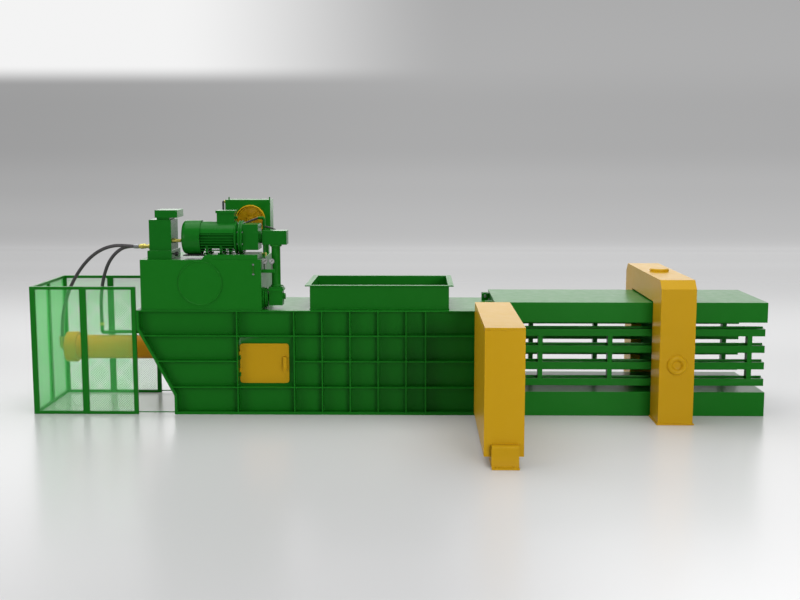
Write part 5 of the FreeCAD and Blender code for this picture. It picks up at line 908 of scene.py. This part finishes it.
# %% Pipes and short hoses
PIPES = {
    "pressure_pipe": ("pressure_line", "green_paint", 34, (
        (1700, 160, 2046), (1720, 160, 2046), (1748, 160, 2046), (1748, 190, 2046), (1748, 340, 2046),
        (1748, 480, 2046), (1748, 510, 2046), (1780, 510, 2046), (2300, 510, 2046), (2840, 510, 2046),
        (2871.6, 510, 2046), (2871.6, 480, 2046), (2871.6, 400, 2046), (2871.6, 345, 2046))),
    "return_pipe": ("cooler_hoses", "green_paint", 36, (
        (2680, 600, 1832), (2680, 600, 2000), (2680, 600, 2240), (2680, 600, 2286), (2650, 600, 2286),
        (2612, 600, 2286))),
    "cooler_feed_hose": (None, "hose_rubber", 26, (
        (2154, 1010, 2465), (2136, 1010, 2465), (2120, 1010, 2465), (2120, 1010, 2448), (2120, 1010, 2200),
        (2120, 1010, 1832))),
    "cooler_return_hose": (None, "hose_rubber", 26, (
        (2612, 600, 2286), (2555, 602, 2266), (2446, 610, 2221), (2372, 650, 2165), (2335, 720, 2122),
        (2325, 820, 2106), (2325, 950, 2106))),
    "pump_drain_hose": (None, "hose_rubber", 20, (
        (2696, 582, 2184), (2750, 520, 2180.4), (2820, 466, 2162.5), (2893, 430, 2119.6), (2930, 396, 2060),
        (2930, 345, 2060))),
    "cap_elbow": ("cylinder_ports", "zinc_steel", 68, (
        (235, 620, 703), (205, 620, 703), (172, 620, 703), (172, 620, 738), (172, 620, 830))),
    "rod_end_pipe": (None, "green_paint", 42, (
        (684, 562, 1014), (684, 562, 940), (684, 562, 889), (730, 584, 889), (814, 620, 889), (900, 620, 889),
        (1500, 620, 889), (2200, 620, 889))),
}
ROUTES = {name: row[3] for name, row in PIPES.items()}
for name, (node, slot_name, diameter, route) in PIPES.items():
    tube = nurbs_line(name, [place_mm(*corner) for corner in route], diameter / 1000)
    show(tube, "press", slot_name, *([node] if node else []))

# %% Pipe nuts
NUTS = (
    (ROUTES["cap_elbow"][-1], "-Z", bar(38, 40, 4, 3)),
    (ROUTES["rod_end_pipe"][0], "-Z", bar(37, 29, 3, 3)),
    (ROUTES["cooler_feed_hose"][-1], "Z", bar(43, 22, 3, 4, ends=1)),
    (ROUTES["return_pipe"][0], "Z", bar(33, 30, 3, 4, ends=1)),
    (ROUTES["cooler_return_hose"][-1], "-Y", bar(33, 19, 3, 3, ends=1)),
    (ROUTES["pump_drain_hose"][-1], "Y", bar(26, 15, 2, 3, ends=1)),
    (ROUTES["cooler_feed_hose"][0], "-X", bar(20, 17, 2, 2, ends=1)),
)
work = bmesh.new()
for end, direction, profile in NUTS:
    lathe(work, end, direction, profile, 6)
piece("pipe_nuts", work, "zinc_steel")

# %% [markdown]
# ## Cooler fan
# A six-bladed pressed fan draws air through the cooler, inside a yellow ring with a guard of
# round wires. The blades are wide and overlap, so from the front they close the ring almost
# fully. Each is a fan-shaped sheet, twisted about its middle line and given a thickness.

# %% Fan wheel
FAN = middle("cooler_fan_shroud", "XZ")  # its axis
BLADES, ROWS, COLUMNS = 6, 6, 8
ROOT, TIP = 40, 163
BLADE_WIDTH, BLADE_LEAN = 62, 14  # degrees
BLADE_DEPTH, TWIST, BULGE = 966, 30, 6
HUB = ((0, 0), (0, 30), (6, 42), (14, 45), (72, 45), (76, 40), (76, 0))
work = bmesh.new()
for blade in range(BLADES):
    sheet = []
    for row in range(ROWS + 1):
        radius = ROOT + (TIP - ROOT) * row / ROWS
        for column in range(COLUMNS + 1):
            share = column / COLUMNS - 0.5
            sweep = math.radians(360 / BLADES * blade + BLADE_WIDTH * share + BLADE_LEAN * (row / ROWS) ** 2)
            twist = TWIST * share * (1.25 - 0.5 * row / ROWS)
            depth = BLADE_DEPTH - twist + BULGE * math.cos(math.pi * share)
            across, up = radius * math.sin(sweep), radius * math.cos(sweep)
            sheet.append(work.verts.new(place_mm(FAN[0] + across, depth, FAN[1] + up)))
    for row in range(ROWS):
        for column in range(COLUMNS):
            first = row * (COLUMNS + 1) + column
            corners = (first, first + 1, first + COLUMNS + 2, first + COLUMNS + 1)
            work.faces.new([sheet[corner] for corner in corners])
bmesh.ops.recalc_face_normals(work, faces=work.faces)
bmesh.ops.solidify(work, geom=work.faces, thickness=0.002)
lathe(work, (FAN[0], 940, FAN[1]), "Y", HUB, 40)
piece("fan_wheel", work, slot_of_node["cooler_fan"], "cooler_fan", body=body_of_node["cooler_fan"])

# %% Guard rings
tree, given = rule("Guard rings", Count=8, First=0.032, Pitch=0.0195, Wire=0.0035)
row_points = add(tree, "GeometryNodeMeshLine", {"Count": given["Count"], "Offset": (0.0, 0.0, 0.0)})
ring = add(tree, "GeometryNodeCurvePrimitiveCircle", {"Resolution": 48, "Radius": 1.0})
growth = add(tree, MATH, (add(tree, "GeometryNodeInputIndex"), given["Pitch"]), operation="MULTIPLY")
size = add(tree, MATH, (given["First"], growth), operation="ADD")
scale = add(tree, COMBINE, (size, size, size))
rings = add(tree, "GeometryNodeInstanceOnPoints", {"Points": row_points, "Instance": ring, "Scale": scale})
real = add(tree, "GeometryNodeRealizeInstances", {"Geometry": rings})
half_wire = add(tree, MATH, (given["Wire"], 0.5), operation="MULTIPLY")
section = add(tree, "GeometryNodeCurvePrimitiveCircle", {"Resolution": 6, "Radius": half_wire})
close_rule(tree, given, add(tree, "GeometryNodeCurveToMesh", {"Curve": real, "Profile Curve": section}))
guard = run_rule(tree, finishes["yellow_paint"], Centre=place_mm(FAN[0], 884, FAN[1]), Turn=FACING["-Y"])
kept("fan_guard_rings", [guard], slot_of_node["cooler_fan_shroud"])

# %% Fan shroud
SHROUD = ((0, 169), (0, 184), (4, 184), (8, 181), (36, 181), (40, 178), (40, 174), (36, 169), (0, 169))
SHROUD_BACK = box_mm("cooler_fan_shroud")[1][1]
BRACE_FRONT, BRACE_BACK = SHROUD_BACK - 38, SHROUD_BACK - 34
BRACE_REACH, BRACE_HALF = 172, 2.5
work = bmesh.new()
lathe(work, (FAN[0], SHROUD_BACK, FAN[1]), "-Y", SHROUD, 72)
for turn in (45, 135):
    run = Vector((math.cos(math.radians(turn)), math.sin(math.radians(turn))))
    side, reach = Vector((-run.y, run.x)) * BRACE_HALF, run * BRACE_REACH
    corners = (reach + side, reach - side, -reach - side, -reach + side)
    rims = [[work.verts.new(place_mm(FAN[0] + corner.x, y, FAN[1] + corner.y)) for corner in corners]
            for y in (BRACE_FRONT, BRACE_BACK)]
    band(work, *rims)
    for rim in rims:
        work.faces.new(rim)
piece("fan_shroud", work, slot_of_node["cooler_fan_shroud"], "cooler_fan_shroud")

# %% [markdown]
# ## Welds
# Fillet welds hold the hopper and the tank on the roof, the tank along its two long sides. A
# weld is a row of ripples, each the frozen edge of one drop, so the rule lays flattened drops
# along straight seams. They are painted over, so they share the plate's enamel. Drops lie every
# 9 mm, twice as coarse as real ones, to keep the count down.

# %% Weld seams
weld_seam, given = rule("Weld seam", Length=1.0, Step=0.009, Drop=0.006)
tree = weld_seam
steps = add(tree, MATH, (given["Length"], given["Step"]), operation="DIVIDE")
drops = add(tree, "GeometryNodeMeshLine", {
    "Count": add(tree, MATH, (steps,), operation="FLOOR"), "Offset": add(tree, COMBINE, (given["Step"],))})
drop = add(tree, "GeometryNodeMeshIcoSphere", {"Subdivisions": 1, "Radius": given["Drop"]})
wobble = add(tree, "FunctionNodeRandomValue", {2: 0.8, 3: 1.1, "Seed": 3}, data_type="FLOAT").outputs[1]
stretch = add(tree, COMBINE, (1.0, wobble, wobble))
bead = add(tree, "GeometryNodeInstanceOnPoints", {"Points": drops, "Instance": drop, "Scale": stretch})
close_rule(tree, given, bead)

# %% Seams on the roof
SEAM_HEIGHT = TANK_LOW[2] + 3
HOPPER_LIP = 53
hopper_low, hopper_high = box_mm("feed_hopper")


def foot(low, high, inset=0):
    """The four edges of a box's foot at the height of the welds, the two along X first."""
    x0, x1, y0, y1 = low[0] + inset, high[0] - inset, low[1] + inset, high[1] - inset
    edges = (((x0, y0), (x1, y0)), ((x0, y1), (x1, y1)), ((x0, y0), (x0, y1)), ((x1, y0), (x1, y1)))
    return [(place_mm(*start, SEAM_HEIGHT), place_mm(*end, SEAM_HEIGHT)) for start, end in edges]


welds = []
for start, end in foot(hopper_low, hopper_high, HOPPER_LIP) + foot(TANK_LOW, TANK_HIGH)[:2]:
    turn = (end - start).to_track_quat("X", "Z").to_euler()
    welds.append(run_rule(weld_seam, finishes["green_paint"], Length=(end - start).length, Centre=start,
                          Turn=tuple(turn)))
made = kept("roof_welds", welds, "green_paint")
print("faces:", len(made.data.polygons))

# %% [markdown]
# ## Paint on the rest
# The other construction pieces keep their own shape and only get their finish.

# %% Finish of carried-over pieces
for name, made in nodes.items():
    made.data.materials.clear()
    made.data.materials.append(finishes[slot_of_node[name]])
    made.data.shade_smooth()
    made.data.set_sharp_from_angle(angle=SHARP)
print("finished", len(nodes), "construction pieces")

# %% [markdown]
# ## Studio
# The floor runs far back and curves up into the backdrop, as paper does in a studio, so there
# is no horizon. It is satin, which gives the soft mirror image under the machine. The far
# part is lit by lamps of its own in a real studio. Here it glows by itself, for the camera
# and for mirror images only, so that no more light falls on the machine. This glow is painted
# light: it steps in brightness along the paper and is darker to the far left. A wide soft patch
# of painted light lies on the backdrop at the upper left, and more lies on the floor in front
# at the right and the left. The floor's own colour darkens towards the back as painted shade.

# %% Floor and backdrop
FLOOR_HALF, FLOOR_FRONT = 40.0, -40.0
BEND_START, BEND_RADIUS, BEND_STEPS = 22.0, 6.0, 16
BACK_TOP = 30.0
profile = [(FLOOR_FRONT, 0.0), (BEND_START - 0.3, 0.0), (BEND_START, 0.0)]
for step in range(1, BEND_STEPS + 1):
    angle = math.radians(step * 90 / BEND_STEPS)
    profile.append((BEND_START + BEND_RADIUS * math.sin(angle), BEND_RADIUS - BEND_RADIUS * math.cos(angle)))
profile.append((BEND_START + BEND_RADIUS, BACK_TOP))
work = bmesh.new()
left_row, right_row = [[work.verts.new((x, y, z)) for y, z in profile] for x in (-FLOOR_HALF, FLOOR_HALF)]
for first in range(len(profile) - 1):
    work.faces.new((left_row[first], right_row[first], right_row[first + 1], left_row[first + 1]))
floor = to_object("studio_floor", work)
print("floor", [round(v, 1) for v in floor.dimensions])

# %% Painted shade and glow of the paper
RUN_START, RUN_END = -10.0, 50.0  # metres back plus metres up, over which the tones run
# The floor's own colour near the machine, darker towards the back as painted shade, and none where the glow
# takes over.
FLOOR_COLOUR_AND_PAINTED_SHADE = ((0.0, 0.66), (0.083, 0.64), (0.123, 0.63), (0.16, 0.61), (0.25, 0.50), (0.333, 0.31),
              (0.47, 0.0))
# Brightness of the paper's painted glow, in steps along the floor's back and up the backdrop.
BACK_PAINTED_GLOW = ((0.0, 0.0), (0.20, 0.05), (0.333, 0.33), (0.467, 0.445), (0.495, 0.42), (0.525, 0.40),
             (0.538, 0.41), (0.548, 0.475), (0.59, 0.475), (0.64, 0.45), (0.68, 0.40),
             (0.71, 0.395), (0.74, 0.42), (0.80, 0.40))
# Masks of painted light and shade: a bright patch on the backdrop at the upper left, the backdrop darker to
# the far left, and the floor in front brighter at the right and the left.
ZONES = {  # each runs along an axis, from one place to another, and from one value to another
    "window across": ("X", -9.0, 2.0, 1.0, 0.0, "SMOOTHSTEP"),
    "window above": ("Z", 5.45, 6.2, 0.0, 1.0, "SMOOTHSTEP"),
    "fall-off": ("X", -16.0, 2.0, 0.84, 1.0, "SMOOTHSTEP"),
    "right": ("X", 0.0, 2.4, 0.18, 1.0, "SMOOTHSTEP"),
    "left": ("X", -1.0, -3.4, 0.0, 0.25, "SMOOTHSTEP"),
    "near": ("Y", -0.5, -5.5, 0.0, 0.29, "LINEAR"),
    "not too near": ("Y", -14.0, -7.0, 0.0, 1.0, "SMOOTHSTEP"),
}
PAINTED_LIGHT_WHITE = (0.90, 0.90, 0.90, 1.0)
paper, tree, place, shader = blank_material("Satin studio paper")
axes = add(tree, "ShaderNodeSeparateXYZ", (place,)).outputs
climb = add(tree, MATH, (axes["Y"], axes["Z"]), operation="ADD")
run = add(tree, TO_RANGE, {"Value": climb, "From Min": RUN_START, "From Max": RUN_END})
tones = []
for stops in (FLOOR_COLOUR_AND_PAINTED_SHADE, BACK_PAINTED_GLOW):
    ramp = add(tree, "ShaderNodeValToRGB", (run,))
    ramp.color_ramp.interpolation = "EASE"
    for _ in stops[2:]:
        ramp.color_ramp.elements.new(0.5)
    for element, (where, grey) in zip(ramp.color_ramp.elements, stops):
        element.position = where
        element.color = (grey, grey, grey * 1.005, 1.0)
    tones.append(ramp)
zone = {}
for name, (axis, start, end, low, high, kind) in ZONES.items():
    zone[name] = add(tree, TO_RANGE, {"Value": axes[axis], "From Min": start, "From Max": end,
                                      "To Min": low, "To Max": high}, interpolation_type=kind)
print("tones:", len(tones), "zones:", ", ".join(zone))

# %% Satin paper
floor_colour_and_painted_shade, back_painted_glow = tones
# Painted patch of bright light on the backdrop at the upper left.
painted_window_light = add(tree, MATH, (zone["window across"], zone["window above"]), operation="MULTIPLY")
shaded = add(tree, "ShaderNodeMix", {0: 1.0, 6: back_painted_glow, 7: zone["fall-off"]}, data_type="RGBA",
             blend_type="MULTIPLY")
bright = add(tree, "ShaderNodeMix", {0: painted_window_light, 6: shaded.outputs[2], 7: PAINTED_LIGHT_WHITE}, data_type="RGBA")
# Painted light on the floor in front, at the right and the left.
near = add(tree, MATH, (zone["near"], zone["not too near"]), operation="MULTIPLY")
sides = add(tree, MATH, (zone["right"], zone["left"]), operation="ADD")
front = add(tree, MATH, (sides, near), operation="MULTIPLY")
glow = add(tree, "ShaderNodeMix", {0: 1.0, 6: bright.outputs[2], 7: front}, data_type="RGBA",
           blend_type="ADD")
rays = add(tree, "ShaderNodeLightPath").outputs
seen = add(tree, MATH, (rays["Is Camera Ray"], rays["Is Glossy Ray"]), operation="MAXIMUM")
seen = add(tree, MATH, (seen, rays["Is Transmission Ray"]), operation="MAXIMUM")
feed(tree, shader, {"Base Color": floor_colour_and_painted_shade, "Emission Color": glow.outputs[2], "Emission Strength": seen,
                    "Roughness": 0.26, "Specular IOR Level": 0.2})
floor.data.materials.append(paper)
print("paper:", paper.name)

# %% Lights and world
SKY_LIGHT, SKY_SEEN = 0.22, 0.52
LAMPS = (
    ("Overhead softbox", (0.0, 1.2, 8.5), (0.0, 1.0, 0.5), (12.0, 7.0), 715),
    ("Back softbox", (0.0, 16.0, 4.2), (0.0, 0.0, 1.2), (30.0, 5.5), 720),
    ("Left softbox", (-8.5, -6.0, 3.2), (-1.0, 0.0, 0.8), (4.0, 3.0), 165),
    ("Front softbox", (4.5, -11.0, 3.8), (0.5, 0.0, 0.6), (4.0, 3.0), 450),
    ("Right softbox", (8.5, -7.0, 5.0), (0.0, 0.0, 1.0), (3.0, 3.0), 80),
)
world = bpy.data.worlds.new("Soft studio sky")
bpy.context.scene.world = world
world.use_nodes = True
sky = world.node_tree
camera_ray = add(sky, "ShaderNodeLightPath").outputs["Is Camera Ray"]
level = add(sky, TO_RANGE, {"Value": camera_ray, "To Min": SKY_LIGHT, "To Max": SKY_SEEN})
feed(sky, sky.nodes["Background"], {"Color": linear("#F2F3F5"), "Strength": level})
for name, place, aim, size, watts in LAMPS:
    data = bpy.data.lights.new(name, "AREA")
    data.shape = "RECTANGLE"
    data.size, data.size_y = size
    data.energy = watts
    lamp = linked(name, data)
    lamp.location = place
    lamp.rotation_euler = (Vector(aim) - Vector(place)).to_track_quat("-Z", "Y").to_euler()
    lamp.visible_camera = False
    print(name, watts, "W")
